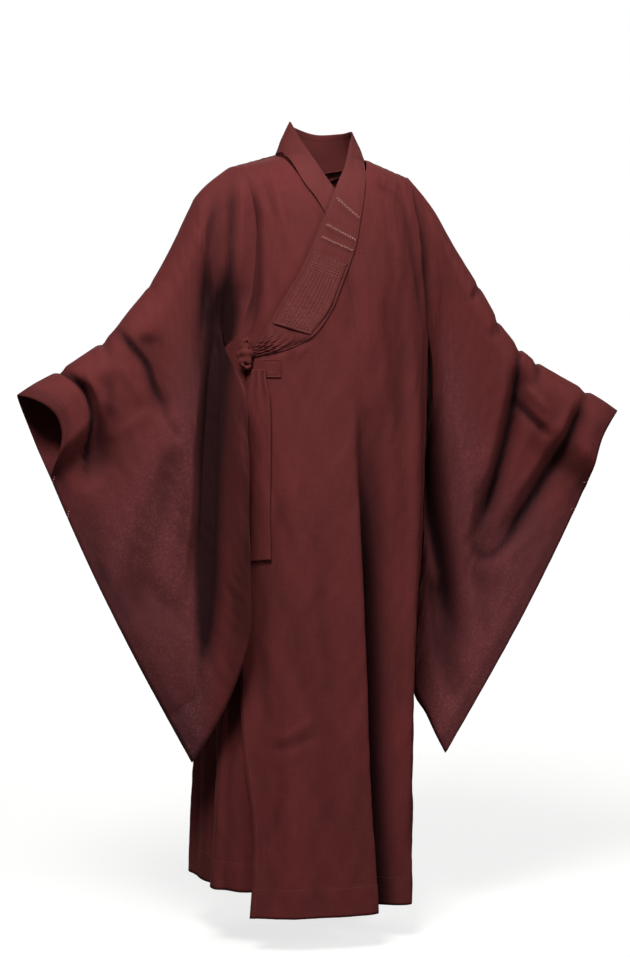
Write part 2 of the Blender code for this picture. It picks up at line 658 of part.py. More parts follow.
def sleeve(rows, side, creases, cuff_pull):
    """A bag sleeve: rings from the armhole to the mouth, closed round the arm. The creases are
    those of its front layer and of its back layer."""
    front_creases, back_creases = creases
    first_ring = armhole_ring(side)
    in_half = len(first_ring) // 2
    front = np.concatenate([np.ones(in_half + 1), np.zeros(in_half - 1)])
    outward = np.where(front > 0, -1, 1)
    rings = []
    for along in np.linspace(0, 1, SLEEVE_RINGS) ** 1.1:
        at = {
            name: smooth_line(along, column(rows, "along"), column(rows, name))
            for name in Sleeve._fields[1:]
        }
        top = np.array([at["top_x"], at["top_y"], at["top_z"]])
        low = np.array([at["low_x"], at["low_y"], at["low_z"]])
        length = np.linalg.norm(low - top)
        half = np.append(np.linspace(0, 1, in_half) ** 1.15 * (1 - BOTTOM_FOLD / length), 1)
        down = np.concatenate([half[::-1], half[1:-1]])
        middle = top + (low - top) * down[:, None]
        middle[:, 1] = top[1] + (low[1] - top[1]) * down**1.3
        middle[:, 0] += side * MOUTH_BOW * np.sin(math.pi * down) * ease(along, 0.5, 1)
        below = length * down / at["arm"]
        round_arm = np.sqrt(1 - (1 - np.minimum(below, 1)) ** 2)
        hung = at["arm"] + (at["gap"] - at["arm"]) * down
        shut = at["gap"] + at["arm"] * (1 - ease(down, HAND_OPENING * 0.6, HAND_OPENING * 1.1))
        thick = hung + (shut - hung) * ease(along, 0.66, 1.0)
        thick = thick * round_arm * (down < 1)
        fade = ease(along, 0.0, 0.10)
        front_y = -thick + crease_depth(middle[:, 0], middle[:, 2], front_creases) * fade
        back_y = thick - crease_depth(middle[:, 0], middle[:, 2], back_creases) * fade
        least = np.minimum(thick, at["gap"] * 0.5 + CLOTH_WALL)
        half_gap = np.maximum((back_y - front_y) / 2, least)
        points = middle.copy()
        points[:, 1] += (front_y + back_y) / 2 + outward * half_gap
        points[:, 0] += side * at["skew"] * outward * half_gap * down**2
        pull = np.sin(math.pi * np.clip(down / HAND_OPENING, 0, 1)) * ease(along, 0.78, 1)
        points[:, 0] -= side * cuff_pull * pull * front
        blend = ease(along, 0, 0.16)
        rings.append(first_ring * (1 - blend) + points * blend)
    return np.array(rings)


def tie(x, top_z, end_z, lift):
    """A tie's hanging end, lying on the outer overlap."""
    down = np.linspace(top_z, end_z, TIE_ROWS)
    over = np.linspace(-TIE_WIDTH / 2, TIE_WIDTH / 2, 3) + x
    across, along = np.meshgrid(over, down)
    return place_on_front(across, along, outer_panel_lift(across, along) + lift)


def knot(collection, finish):
    """The tied knot: a lumpy closed form at the top of the ties."""
    bpy.ops.mesh.primitive_uv_sphere_add(segments=12, ring_count=8, radius=1)
    made = bpy.context.object
    made.name = made.data.name = "tie_knot"
    middle = place_on_front(KNOT_CENTRE_X, KNOT_CENTRE_Z, KNOT_STAND_OFF)
    for vertex in made.data.vertices:
        lump = 1 + 0.16 * math.sin(3 * math.atan2(vertex.co.y, vertex.co.x)) * math.cos(4 * vertex.co.z)
        for axis in range(3):
            vertex.co[axis] = vertex.co[axis] * lump * KNOT_HALF_SIZES[axis] + middle[axis]
    made.data.materials.append(finish)
    made.data.shade_smooth()
    for owner in list(made.users_collection):
        owner.objects.unlink(made)
    collection.objects.link(made)


def main():
    for existing in list(bpy.data.objects):
        bpy.data.objects.remove(existing)
    robe = bpy.data.collections.new("monk_robe")
    bpy.context.scene.collection.children.link(robe)
    maroon = material("maroon_plain_weave", MAROON)
    band_maroon = material("maroon_stitched_band", MAROON_BAND)

    left = body_half(1, LEFT_NECK_POINT, left_front_edge, panel_lift, folded_fully, 1.3)
    right = body_half(-1, RIGHT_NECK_POINT, right_front_edge, under_lift, folded_where_free, 1.0)
    for part, left_grid, right_grid in zip(("front", "back"), left, right):
        cloth(f"body_left_{part}", left_grid, robe, maroon)
        cloth(f"body_right_{part}", right_grid, robe, maroon, turned=True)
    outer_edges = (free_edge, outer_seam_edge, OUTER_BAND)
    inner_edges = (inner_seam_edge, inner_free_edge, INNER_BAND)
    outer = overlap(outer_edges, outer_panel_lift, folded_fully, OUTER_OVERLAP)
    inner = overlap(inner_edges, under_lift, folded_where_free, INNER_OVERLAP)
    cloth("overlap_outer", outer, robe, maroon)
    cloth("overlap_inner", inner, robe, maroon)
    right_creases = (RIGHT_SLEEVE_CREASES, RIGHT_SLEEVE_BACK_CREASES)
    left_creases = (LEFT_SLEEVE_CREASES, LEFT_SLEEVE_BACK_CREASES)
    right_bag = sleeve(RIGHT_SLEEVE, -1, right_creases, RIGHT_CUFF_PULL)
    left_bag = sleeve(LEFT_SLEEVE, 1, left_creases, LEFT_CUFF_PULL)
    cloth("sleeve_right", right_bag, robe, maroon, closed=True)
    cloth("sleeve_left", left_bag, robe, maroon, closed=True, turned=True)
    cloth("collar", collar(), robe, band_maroon, BAND_WALL)

    patch_shares = np.linspace(*COLLAR_PATCH_SHARES, BAND_COLUMNS)
    patch = band_points(OUTER_BAND[2:6], patch_lift, PATCH_STATIONS, patch_shares)
    cloth("collar_patch", patch, robe, band_maroon)
    halves = np.array([-0.5, 0.0, 0.5]) * TIE_PATCH_SIZE
    across, along = np.meshgrid(TIE_PATCH_X + halves, TIE_PATCH_Z - halves)
    tie_patch = place_on_front(across, along, outer_panel_lift(across, along) + ON_PANEL)
    cloth("tie_patch", tie_patch, robe, maroon, turned=True)
    back_lift = LAP_CLEARANCE + TIE_WALL
    front_lift = ON_PANEL + back_lift + LAP_CLEARANCE
    back_tie = tie(TIE_BACK_X, TIE_TOP_Z, TIE_BACK_END_Z, back_lift)
    front_tie = tie(TIE_FRONT_X, TIE_TOP_Z, TIE_FRONT_END_Z, front_lift)
    cloth("tie_back", back_tie, robe, maroon, TIE_WALL, turned=True)
    cloth("tie_front", front_tie, robe, maroon, TIE_WALL, turned=True)
    knot(robe, maroon)


if __name__ == "__main__":
    main()
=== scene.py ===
"""A long monk's robe with a crossed collar and bag sleeves, dressed for its final look.

Metres, +Z up. The robe faces -Y and the wearer's left is +X. Every cloth piece is a thin shell on
the form of its solid, with finer folds, creases, stitched channels and hems, and a woven finish.
"""
import functools
import math
from collections import namedtuple

import bpy
import numpy as np
from mathutils import Matrix, Vector


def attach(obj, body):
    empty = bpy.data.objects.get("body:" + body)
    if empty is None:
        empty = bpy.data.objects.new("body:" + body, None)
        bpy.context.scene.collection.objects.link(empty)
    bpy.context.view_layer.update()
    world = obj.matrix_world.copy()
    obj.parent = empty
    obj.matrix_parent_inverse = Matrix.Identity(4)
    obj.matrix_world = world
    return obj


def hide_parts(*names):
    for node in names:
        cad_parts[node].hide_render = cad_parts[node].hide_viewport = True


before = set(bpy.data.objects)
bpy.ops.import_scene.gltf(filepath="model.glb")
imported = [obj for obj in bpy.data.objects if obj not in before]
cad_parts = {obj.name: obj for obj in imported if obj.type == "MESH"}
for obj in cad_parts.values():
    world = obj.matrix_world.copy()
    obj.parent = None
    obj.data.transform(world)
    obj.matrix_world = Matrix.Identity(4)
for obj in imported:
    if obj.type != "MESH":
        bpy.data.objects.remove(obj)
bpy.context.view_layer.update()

bl_info = {
    "name": "Monk Robe",
    "version": (1, 0, 0),
    "blender": (4, 5, 0),
    "location": "View3D > Sidebar > Robe",
    "description": "Dresses a worn monk's robe with folds, stitched collar, ties and woven finishes",
    "category": "Object",
}

# Cloth and seams
CLOTH_WALL = 0.0015
BAND_WALL = 0.0022
LAP_CLEARANCE = 0.0008
LAYER_SPACING = 0.0070
NECK_STAND_OFF = 0.0025
ON_PANEL = CLOTH_WALL + LAP_CLEARANCE
INNER_HANG = 0.050

# Heights
CHEST_Z = -0.30
HEM_Z = -1.308
SHORT_HEM_RISE = 0.040

# Plan shape of the body: rings between a circle and a square, and the turn over the shoulders
RING_POWER = 2.3
SHOULDER_POWER = 2.5
NORMAL_STEP = 0.004

Ring = namedtuple("Ring", "z half_width front_depth back_depth centre_x")
RINGS = (
    Ring(-1.33, 0.193, 0.160, 0.146, -0.034),
    Ring(-1.10, 0.190, 0.152, 0.138, -0.029),
    Ring(-0.85, 0.188, 0.144, 0.130, -0.018),
    Ring(-0.55, 0.190, 0.140, 0.122, -0.008),
    Ring(-0.30, 0.188, 0.136, 0.112, 0.000),
    Ring(0.03, 0.188, 0.136, 0.108, 0.000),
)

# The line along the top of the shoulders, from the wearer's right to the left
Crest = namedtuple("Crest", "x z")
SHOULDER_LINE = (
    Crest(-0.240, -0.046),
    Crest(-0.165, -0.018),
    Crest(-0.080, 0.006),
    Crest(0.075, -0.006),
    Crest(0.150, -0.032),
    Crest(0.240, -0.070),
)

# Folds of the body. Angles run from the front, positive to the wearer's left; flanks are how wide
# each side of the fold is; height is how far it stands out, or in where it is negative; it grows
# from top_z over the reach below it.
Fold = namedtuple("Fold", "top_angle top_z low_angle right_flank left_flank height reach")
BODY_FOLDS = (
    Fold(6, -0.45, 26, 0.070, 0.010, 0.014, 0.25),
    Fold(11.5, -0.45, 33, 0.012, 0.034, -0.050, 0.28),
    Fold(46, -0.30, 53, 0.020, 0.030, 0.014, 0.20),
    Fold(66, -0.45, 74, 0.018, 0.022, -0.016, 0.30),
    Fold(-16, -0.55, -14, 0.050, 0.050, 0.007, 0.30),
    Fold(-30, -0.50, -30, 0.026, 0.026, -0.006, 0.25),
    Fold(-58, -0.80, -60, 0.020, 0.014, 0.010, 0.25),
    Fold(-76, -0.70, -74, 0.024, 0.018, -0.012, 0.30),
    Fold(112, -0.45, 112, 0.028, 0.024, 0.014, 0.25),
    Fold(134, -0.30, 128, 0.020, 0.026, -0.024, 0.35),
    Fold(158, -0.35, 154, 0.034, 0.028, 0.016, 0.25),
    Fold(181, -0.40, 182, 0.026, 0.024, -0.020, 0.40),
    Fold(206, -0.30, 212, 0.028, 0.036, 0.015, 0.25),
    Fold(228, -0.40, 236, 0.026, 0.020, -0.022, 0.35),
    Fold(250, -0.45, 256, 0.026, 0.026, 0.013, 0.25),
)

# Where the front pieces meet: the seam hides in the trough beside the large front fold
CentreFront = namedtuple("CentreFront", "z angle")
OUTER_CENTRE_FRONT = (
    CentreFront(-1.32, 32.5),
    CentreFront(-0.45, 11.5),
    CentreFront(-0.32, 7.6),
    CentreFront(-0.20, 2.9),
)
INNER_CENTRE_FRONT_ANGLE = -2.0

# The outer overlap's free edge, at the wearer's right
FreeEdge = namedtuple("FreeEdge", "z x")
OVERLAP_FREE_EDGE = (
    FreeEdge(-1.33, -0.153),
    FreeEdge(-1.17, -0.146),
    FreeEdge(-1.00, -0.158),
    FreeEdge(-0.89, -0.160),
    FreeEdge(-0.75, -0.152),
    FreeEdge(-0.34, -0.142),
)

# Armholes: the body's edge, from the underarm over the chest to the shoulder. Height runs from
# zero at the chest line to one at the shoulder.
Armhole = namedtuple("Armhole", "height right_front left_front back")
ARMHOLES = (
    Armhole(-0.040, 90, 90, 90),
    Armhole(-0.030, 73, 79, 77),
    Armhole(-0.015, 62, 72, 70),
    Armhole(0.00, 56, 67, 65),
    Armhole(0.10, 50, 62, 60),
    Armhole(0.22, 47, 58, 56),
    Armhole(0.36, 45, 55, 53),
    Armhole(0.52, 45, 52, 51),
    Armhole(0.66, 46, 50, 50),
    Armhole(0.78, 48, 50, 50),
    Armhole(0.90, 53, 51, 52),
    Armhole(1.00, 59, 52, 54),
)

# The collar band, in stations from the outer end at the wearer's right, up round the neck and
# down to the inner end. The neck edge is the free one; the seam edge is sewn to the fronts and
# back. Where y or z is None, the point lies on the body at the other two.
Band = namedtuple("Band", "neck_x neck_y neck_z seam_x seam_y seam_z")
OUTER_BAND = (
    Band(-0.140, None, -0.326, -0.139, None, -0.342),
    Band(-0.128, None, -0.310, -0.092, None, -0.331),
    Band(-0.113, None, -0.284, -0.044, None, -0.306),
    Band(-0.093, None, -0.246, -0.014, None, -0.266),
    Band(-0.068, None, -0.204, 0.002, None, -0.229),
    Band(-0.047, None, -0.162, 0.019, None, -0.186),
    Band(-0.028, None, -0.119, 0.032, None, -0.150),
    Band(0.001, None, -0.060, 0.043, None, -0.101),
    Band(0.024, -0.078, -0.016, 0.055, None, -0.052),
)
NECK_BAND = (
    Band(0.042, -0.040, 0.024, 0.070, -0.026, None),
    Band(0.054, -0.002, 0.046, 0.0765, 0.006, None),
    Band(0.042, 0.036, 0.045, 0.060, 0.048, None),
    Band(0.000, 0.054, 0.044, 0.000, 0.0675, None),
    Band(-0.044, 0.036, 0.056, -0.064, 0.048, None),
    Band(-0.057, -0.002, 0.062, -0.0815, 0.006, None),
    Band(-0.047, -0.040, 0.030, -0.074, -0.026, None),
)
INNER_BAND = (
    Band(-0.024, -0.078, -0.014, -0.050, None, -0.046),
    Band(0.003, None, -0.060, -0.028, None, -0.080),
    Band(0.030, None, -0.116, -0.002, None, -0.136),
    Band(0.052, None, -0.162, 0.006, None, -0.190),
    Band(0.076, None, -0.208, 0.024, None, -0.236),
    Band(0.098, None, -0.250, 0.052, None, -0.284),
    Band(0.116, None, -0.290, 0.098, None, -0.318),
)

# Sleeves: rings from the armhole to the mouth, each hung between the arm's top line and the
# bottom edge. Arm is the half thickness round the arm, gap the half gap at the bottom, and skew
# turns a ring's bottom round the side of the body.
Sleeve = namedtuple("Sleeve", "along top_x top_y top_z low_x low_y low_z arm gap skew")
RIGHT_SLEEVE = (
    Sleeve(0.00, -0.168, 0.002, -0.018, -0.190, 0.000, -0.342, 0.055, 0.070, 0.30),
    Sleeve(0.06, -0.192, -0.003, -0.036, -0.195, -0.030, -0.352, 0.058, 0.074, 0.30),
    Sleeve(0.12, -0.217, -0.008, -0.057, -0.191, -0.070, -0.368, 0.060, 0.068, 0.30),
    Sleeve(0.20, -0.238, -0.014, -0.093, -0.177, -0.120, -0.410, 0.062, 0.044, 0.24),
    Sleeve(0.30, -0.264, -0.020, -0.145, -0.166, -0.152, -0.490, 0.062, 0.024, 0.10),
    Sleeve(0.46, -0.308, -0.030, -0.219, -0.163, -0.166, -0.620, 0.058, 0.019, 0.0),
    Sleeve(0.58, -0.346, -0.040, -0.264, -0.161, -0.169, -0.725, 0.055, 0.017, 0.0),
    Sleeve(0.70, -0.386, -0.050, -0.310, -0.160, -0.166, -0.815, 0.052, 0.014, 0.0),
    Sleeve(0.80, -0.433, -0.060, -0.342, -0.178, -0.154, -0.885, 0.046, 0.011, 0.0),
    Sleeve(0.88, -0.469, -0.066, -0.364, -0.198, -0.138, -0.940, 0.042, 0.008, 0.0),
    Sleeve(0.95, -0.514, -0.074, -0.387, -0.226, -0.118, -0.998, 0.038, 0.005, 0.0),
    Sleeve(1.00, -0.541, -0.080, -0.404, -0.250, -0.100, -1.040, 0.034, 0.0035, 0.0),
)
LEFT_SLEEVE = (
    Sleeve(0.00, 0.153, 0.002, -0.033, 0.190, 0.000, -0.342, 0.055, 0.064, 0.20),
    Sleeve(0.06, 0.172, 0.002, -0.052, 0.200, 0.006, -0.366, 0.057, 0.060, 0.14),
    Sleeve(0.12, 0.190, 0.002, -0.074, 0.202, 0.014, -0.415, 0.058, 0.045, 0.06),
    Sleeve(0.26, 0.232, -0.002, -0.145, 0.198, 0.038, -0.560, 0.060, 0.028, 0.0),
    Sleeve(0.46, 0.290, -0.012, -0.238, 0.190, 0.048, -0.715, 0.058, 0.022, 0.0),
    Sleeve(0.58, 0.328, -0.016, -0.300, 0.181, 0.046, -0.820, 0.055, 0.019, 0.0),
    Sleeve(0.70, 0.378, -0.020, -0.350, 0.176, 0.036, -0.900, 0.050, 0.015, 0.0),
    Sleeve(0.80, 0.430, -0.025, -0.382, 0.176, 0.020, -0.960, 0.045, 0.011, 0.0),
    Sleeve(0.88, 0.474, -0.028, -0.406, 0.191, -0.002, -0.990, 0.041, 0.008, 0.0),
    Sleeve(0.95, 0.512, -0.030, -0.428, 0.205, -0.020, -1.026, 0.037, 0.005, 0.0),
    Sleeve(1.00, 0.538, -0.031, -0.446, 0.220, -0.030, -1.058, 0.034, 0.0035, 0.0),
)
MOUTH_BOW = 0.016
HAND_OPENING = 0.22
RIGHT_CUFF_PULL = 0.050
LEFT_CUFF_PULL = 0.020

# Creases of the sleeves' front and back layers, along a bent line in the plane of x and z.
# Depth is how far the crease sinks, or rises where it is negative.
Crease = namedtuple("Crease", "start_x start_z end_x end_z bend near_flank far_flank depth")
RIGHT_SLEEVE_CREASES = (
    Crease(-0.186, -0.180, -0.230, -0.860, 0.008, 0.014, 0.018, 0.052),
    Crease(-0.140, -0.120, -0.170, -0.800, 0.010, 0.030, 0.026, -0.014),
    Crease(-0.205, -0.140, -0.268, -0.800, 0.000, 0.020, 0.034, 0.018),
    Crease(-0.265, -0.480, -0.370, -0.800, 0.014, 0.030, 0.020, 0.009),
    Crease(-0.468, -0.372, -0.412, -0.560, -0.030, 0.020, 0.014, 0.015),
    Crease(-0.330, -0.300, -0.300, -0.450, -0.010, 0.024, 0.020, 0.010),
)
RIGHT_SLEEVE_BACK_CREASES = (
    Crease(-0.200, -0.120, -0.262, -0.720, 0.010, 0.026, 0.030, 0.030),
    Crease(-0.300, -0.300, -0.350, -0.780, -0.012, 0.030, 0.026, 0.016),
    Crease(-0.430, -0.400, -0.340, -0.660, 0.020, 0.024, 0.030, 0.012),
)
LEFT_SLEEVE_CREASES = (
    Crease(0.172, -0.080, 0.252, -0.880, 0.022, 0.018, 0.015, 0.028),
    Crease(0.205, -0.740, 0.236, -0.980, -0.010, 0.020, 0.018, 0.014),
    Crease(0.352, -0.345, 0.276, -0.690, -0.012, 0.016, 0.018, 0.015),
    Crease(0.478, -0.415, 0.288, -0.710, -0.015, 0.022, 0.018, 0.012),
    Crease(0.300, -0.560, 0.300, -0.800, 0.010, 0.026, 0.026, 0.008),
)
LEFT_SLEEVE_BACK_CREASES = (
    Crease(0.215, -0.160, 0.262, -0.740, 0.010, 0.028, 0.030, 0.026),
    Crease(0.320, -0.320, 0.300, -0.760, 0.014, 0.030, 0.026, 0.018),
    Crease(0.450, -0.420, 0.330, -0.700, 0.020, 0.026, 0.026, 0.014),
)

# Ties at the wearer's right side
TIE_WIDTH = 0.034
TIE_WALL = 0.0020
TIE_PLEAT = 0.0016
TIE_CURL = 0.0012
TIE_STAND_OFF = 0.0012
TIE_EDGE_SINK = 0.0005
TIE_TOP_Z = -0.3635
TIE_FRONT_X = -0.131
TIE_FRONT_END_Z = -0.690
TIE_BACK_X = -0.146
TIE_BACK_END_Z = -0.672
TIE_PATCH_X = -0.112
TIE_PATCH_Z = -0.362
TIE_PATCH_SIZE = 0.030
KNOT_CENTRE_X = -0.146
KNOT_CENTRE_Z = -0.338
KNOT_HALF_SIZES = (0.013, 0.009, 0.022)
KNOT_STAND_OFF = 0.0169
COLLAR_PATCH_SHARES = (0.08, 0.92)

# How finely the shells are divided
BODY_COLUMNS = 56
LOW_ROWS = 170
ARMHOLE_ROWS = 60
Division = namedtuple("Division", "rows columns power hem_rise")
OUTER_OVERLAP = Division(190, 52, 1.6, 0.0)
INNER_OVERLAP = Division(150, 30, 1.0, 0.030)
SLEEVE_RINGS = 116
SLEEVE_HALF_RING = 112
BOTTOM_FOLD = 0.006
BAND_COLUMNS = 56
OUTER_STATIONS = 150
NECK_STATIONS = 120
INNER_STATIONS = 120
PATCH_STATIONS = 120
PATCH_COLUMNS = 76
TIE_ROWS = 150
TIE_COLUMNS = 17
EDGE_LAP = 0.004
ARMHOLE_LIFT = 0.0002
CENTRE_FRONT_TOP = -0.20
INNER_FREE_ANGLE = 70
FREE_EDGE_STAND_OFF = 0.012
LEFT_NECK_POINT = Crest(0.073, -0.0055)
RIGHT_NECK_POINT = Crest(-0.077, 0.0055)

# Smaller creases, each along a given line of x and z, from its top or its wearer's right end.
# Sink is how far it sinks, or rises where it is negative. The near flank lies on the wearer's
# right of a crease that runs down, or below one that runs across.
Line = namedtuple("Line", "sink near far points")
FRONT_LINES = (
    Line(0.016, 0.016, 0.011, ((-0.136, -0.040), (-0.139, -0.128), (-0.142, -0.229), (-0.149, -0.330))),
    Line(0.0035, 0.007, 0.008, ((-0.142, -0.032), (-0.147, -0.092), (-0.156, -0.165))),
    Line(-0.0030, 0.007, 0.009, ((-0.105, -0.008), (-0.100, -0.052), (-0.092, -0.102), (-0.080, -0.178))),
    Line(0.0022, 0.008, 0.008, ((-0.119, -0.030), (-0.112, -0.075), (-0.101, -0.128))),
    Line(0.0020, 0.007, 0.008, ((-0.095, -0.050), (-0.083, -0.095), (-0.066, -0.140))),
    Line(-0.0030, 0.008, 0.007, ((0.066, -0.032), (0.099, -0.043), (0.128, -0.070))),
    Line(0.0030, 0.008, 0.007, ((0.072, -0.048), (0.108, -0.062), (0.139, -0.100))),
    Line(-0.0028, 0.006, 0.008, ((0.092, -0.130), (0.112, -0.158), (0.128, -0.205))),
    Line(0.0060, 0.014, 0.008, ((0.126, -0.060), (0.140, -0.130), (0.153, -0.200), (0.170, -0.304))),
    Line(0.0055, 0.022, 0.026, ((0.078, -0.190), (0.092, -0.280), (0.104, -0.383), (0.112, -0.520))),
    Line(0.0040, 0.012, 0.018, ((0.016, -0.190), (0.020, -0.240), (0.014, -0.330))),
    Line(-0.0040, 0.016, 0.018, ((0.050, -0.170), (0.052, -0.260), (0.050, -0.380))),
    Line(0.0035, 0.004, 0.005, ((-0.134, -0.340), (-0.103, -0.335), (-0.077, -0.323), (-0.034, -0.310))),
    Line(-0.0022, 0.004, 0.004, ((-0.072, -0.348), (-0.066, -0.335), (-0.054, -0.322))),
    Line(0.0022, 0.008, 0.010, ((-0.128, -1.018), (-0.085, -1.008), (-0.035, -0.982))),
    Line(-0.0020, 0.008, 0.008, ((-0.120, -1.000), (-0.080, -0.985), (-0.045, -0.955))),
    Line(-0.0035, 0.006, 0.007, ((-0.176, -0.960), (-0.190, -1.060), (-0.199, -1.160), (-0.206, -1.250))),
    Line(0.0030, 0.010, 0.010, ((-0.196, -1.000), (-0.208, -1.120), (-0.216, -1.250))),
    Line(-0.0030, 0.014, 0.016, ((-0.075, -0.520), (-0.070, -0.700), (-0.062, -0.900))),
    Line(0.0030, 0.016, 0.018, ((-0.040, -0.600), (-0.030, -0.800), (-0.020, -1.050))),
    Line(0.0026, 0.012, 0.012, ((-0.100, -0.900), (-0.106, -1.060), (-0.110, -1.240))),
)
BACK_LINES = (
    Line(0.0045, 0.010, 0.014, ((-0.128, -0.090), (-0.134, -0.170), (-0.145, -0.300))),
    Line(0.0050, 0.014, 0.010, ((0.124, -0.080), (0.136, -0.180), (0.150, -0.310))),
    Line(-0.0030, 0.010, 0.010, ((-0.084, -0.040), (-0.078, -0.130), (-0.066, -0.240))),
    Line(-0.0032, 0.010, 0.012, ((0.080, -0.050), (0.070, -0.150), (0.064, -0.270))),
    Line(0.0028, 0.010, 0.010, ((-0.040, -0.060), (-0.034, -0.160), (-0.042, -0.300))),
    Line(-0.0026, 0.012, 0.012, ((0.020, -0.090), (0.016, -0.200), (0.028, -0.360))),
    Line(0.0032, 0.016, 0.014, ((-0.096, -0.360), (-0.090, -0.560), (-0.104, -0.800))),
    Line(0.0028, 0.012, 0.014, ((0.074, -0.400), (0.086, -0.620), (0.080, -0.880))),
    Line(-0.0028, 0.012, 0.016, ((0.030, -0.560), (0.036, -0.800), (0.030, -1.080))),
    Line(0.0024, 0.010, 0.012, ((-0.120, -0.860), (-0.132, -1.060), (-0.128, -1.240))),
    Line(-0.0024, 0.014, 0.010, ((-0.060, -0.900), (-0.052, -1.080), (-0.062, -1.260))),
)
RIGHT_SLEEVE_LINES = (
    Line(0.0170, 0.009, 0.011, (
        (-0.166, 0.000), (-0.172, -0.090), (-0.178, -0.190), (-0.186, -0.300),
        (-0.196, -0.400),
    )),
    Line(-0.0070, 0.010, 0.009, ((-0.152, -0.010), (-0.156, -0.110), (-0.160, -0.220), (-0.168, -0.330))),
    Line(-0.0060, 0.010, 0.010, ((-0.186, -0.040), (-0.192, -0.140), (-0.200, -0.250))),
    Line(0.0170, 0.010, 0.014, (
        (-0.182, -0.160), (-0.192, -0.300), (-0.203, -0.430), (-0.212, -0.600),
        (-0.226, -0.760), (-0.240, -0.900), (-0.252, -1.000),
    )),
    Line(0.0100, 0.008, 0.011, ((-0.208, -0.040), (-0.214, -0.150), (-0.219, -0.240), (-0.230, -0.330))),
    Line(-0.0060, 0.010, 0.010, ((-0.150, -0.090), (-0.164, -0.190), (-0.175, -0.330), (-0.178, -0.560))),
    Line(0.0060, 0.012, 0.020, ((-0.176, -0.200), (-0.168, -0.350), (-0.166, -0.600), (-0.188, -0.840))),
    Line(0.0035, 0.008, 0.008, ((-0.179, -0.032), (-0.180, -0.070), (-0.177, -0.110))),
    Line(0.0060, 0.012, 0.014, ((-0.212, -0.127), (-0.228, -0.300), (-0.244, -0.440), (-0.253, -0.653))),
    Line(-0.0110, 0.016, 0.008, (
        (-0.234, -0.300), (-0.238, -0.400), (-0.248, -0.500), (-0.258, -0.640),
        (-0.284, -0.809),
    )),
    Line(0.0035, 0.010, 0.018, ((-0.286, -0.480), (-0.300, -0.600), (-0.335, -0.720), (-0.370, -0.830))),
    Line(-0.0018, 0.012, 0.016, ((-0.344, -0.670), (-0.298, -0.728), (-0.262, -0.763))),
    Line(0.0014, 0.016, 0.012, ((-0.344, -0.700), (-0.304, -0.756), (-0.272, -0.790))),
    Line(0.0040, 0.008, 0.010, ((-0.302, -0.423), (-0.282, -0.466), (-0.265, -0.491))),
    Line(0.0160, 0.004, 0.008, (
        (-0.492, -0.350), (-0.460, -0.384), (-0.436, -0.428), (-0.429, -0.490),
        (-0.426, -0.570),
    )),
    Line(-0.0070, 0.012, 0.010, ((-0.440, -0.358), (-0.414, -0.400), (-0.402, -0.450), (-0.404, -0.510))),
    Line(0.0120, 0.010, 0.004, (
        (-0.384, -0.270), (-0.348, -0.322), (-0.322, -0.356), (-0.308, -0.398),
        (-0.282, -0.450),
    )),
    Line(-0.0050, 0.009, 0.008, ((-0.372, -0.345), (-0.346, -0.388), (-0.330, -0.430))),
    Line(0.0050, 0.012, 0.010, ((-0.396, -0.360), (-0.384, -0.410), (-0.392, -0.470))),
    Line(-0.0030, 0.012, 0.012, ((-0.417, -0.490), (-0.369, -0.465), (-0.318, -0.437), (-0.289, -0.440))),
    Line(0.0040, 0.016, 0.016, ((-0.445, -0.560), (-0.410, -0.660), (-0.385, -0.780))),
    Line(0.0024, 0.005, 0.005, ((-0.289, -0.962), (-0.266, -0.938), (-0.241, -0.912))),
)
RIGHT_SLEEVE_BACK_LINES = (
    Line(0.0070, 0.014, 0.010, ((-0.170, -0.070), (-0.186, -0.200), (-0.205, -0.360), (-0.222, -0.560))),
    Line(-0.0050, 0.012, 0.012, ((-0.215, -0.160), (-0.236, -0.300), (-0.262, -0.500))),
    Line(0.0050, 0.014, 0.012, ((-0.280, -0.260), (-0.290, -0.420), (-0.310, -0.620))),
    Line(-0.0045, 0.012, 0.014, ((-0.340, -0.360), (-0.330, -0.500), (-0.345, -0.680))),
    Line(0.0070, 0.008, 0.012, ((-0.470, -0.372), (-0.436, -0.410), (-0.420, -0.480), (-0.424, -0.560))),
    Line(0.0045, 0.010, 0.010, ((-0.400, -0.350), (-0.372, -0.400), (-0.360, -0.470))),
    Line(0.0040, 0.016, 0.012, ((-0.400, -0.600), (-0.350, -0.700), (-0.290, -0.770))),
    Line(0.0024, 0.005, 0.005, ((-0.289, -0.962), (-0.266, -0.938), (-0.241, -0.912))),
)
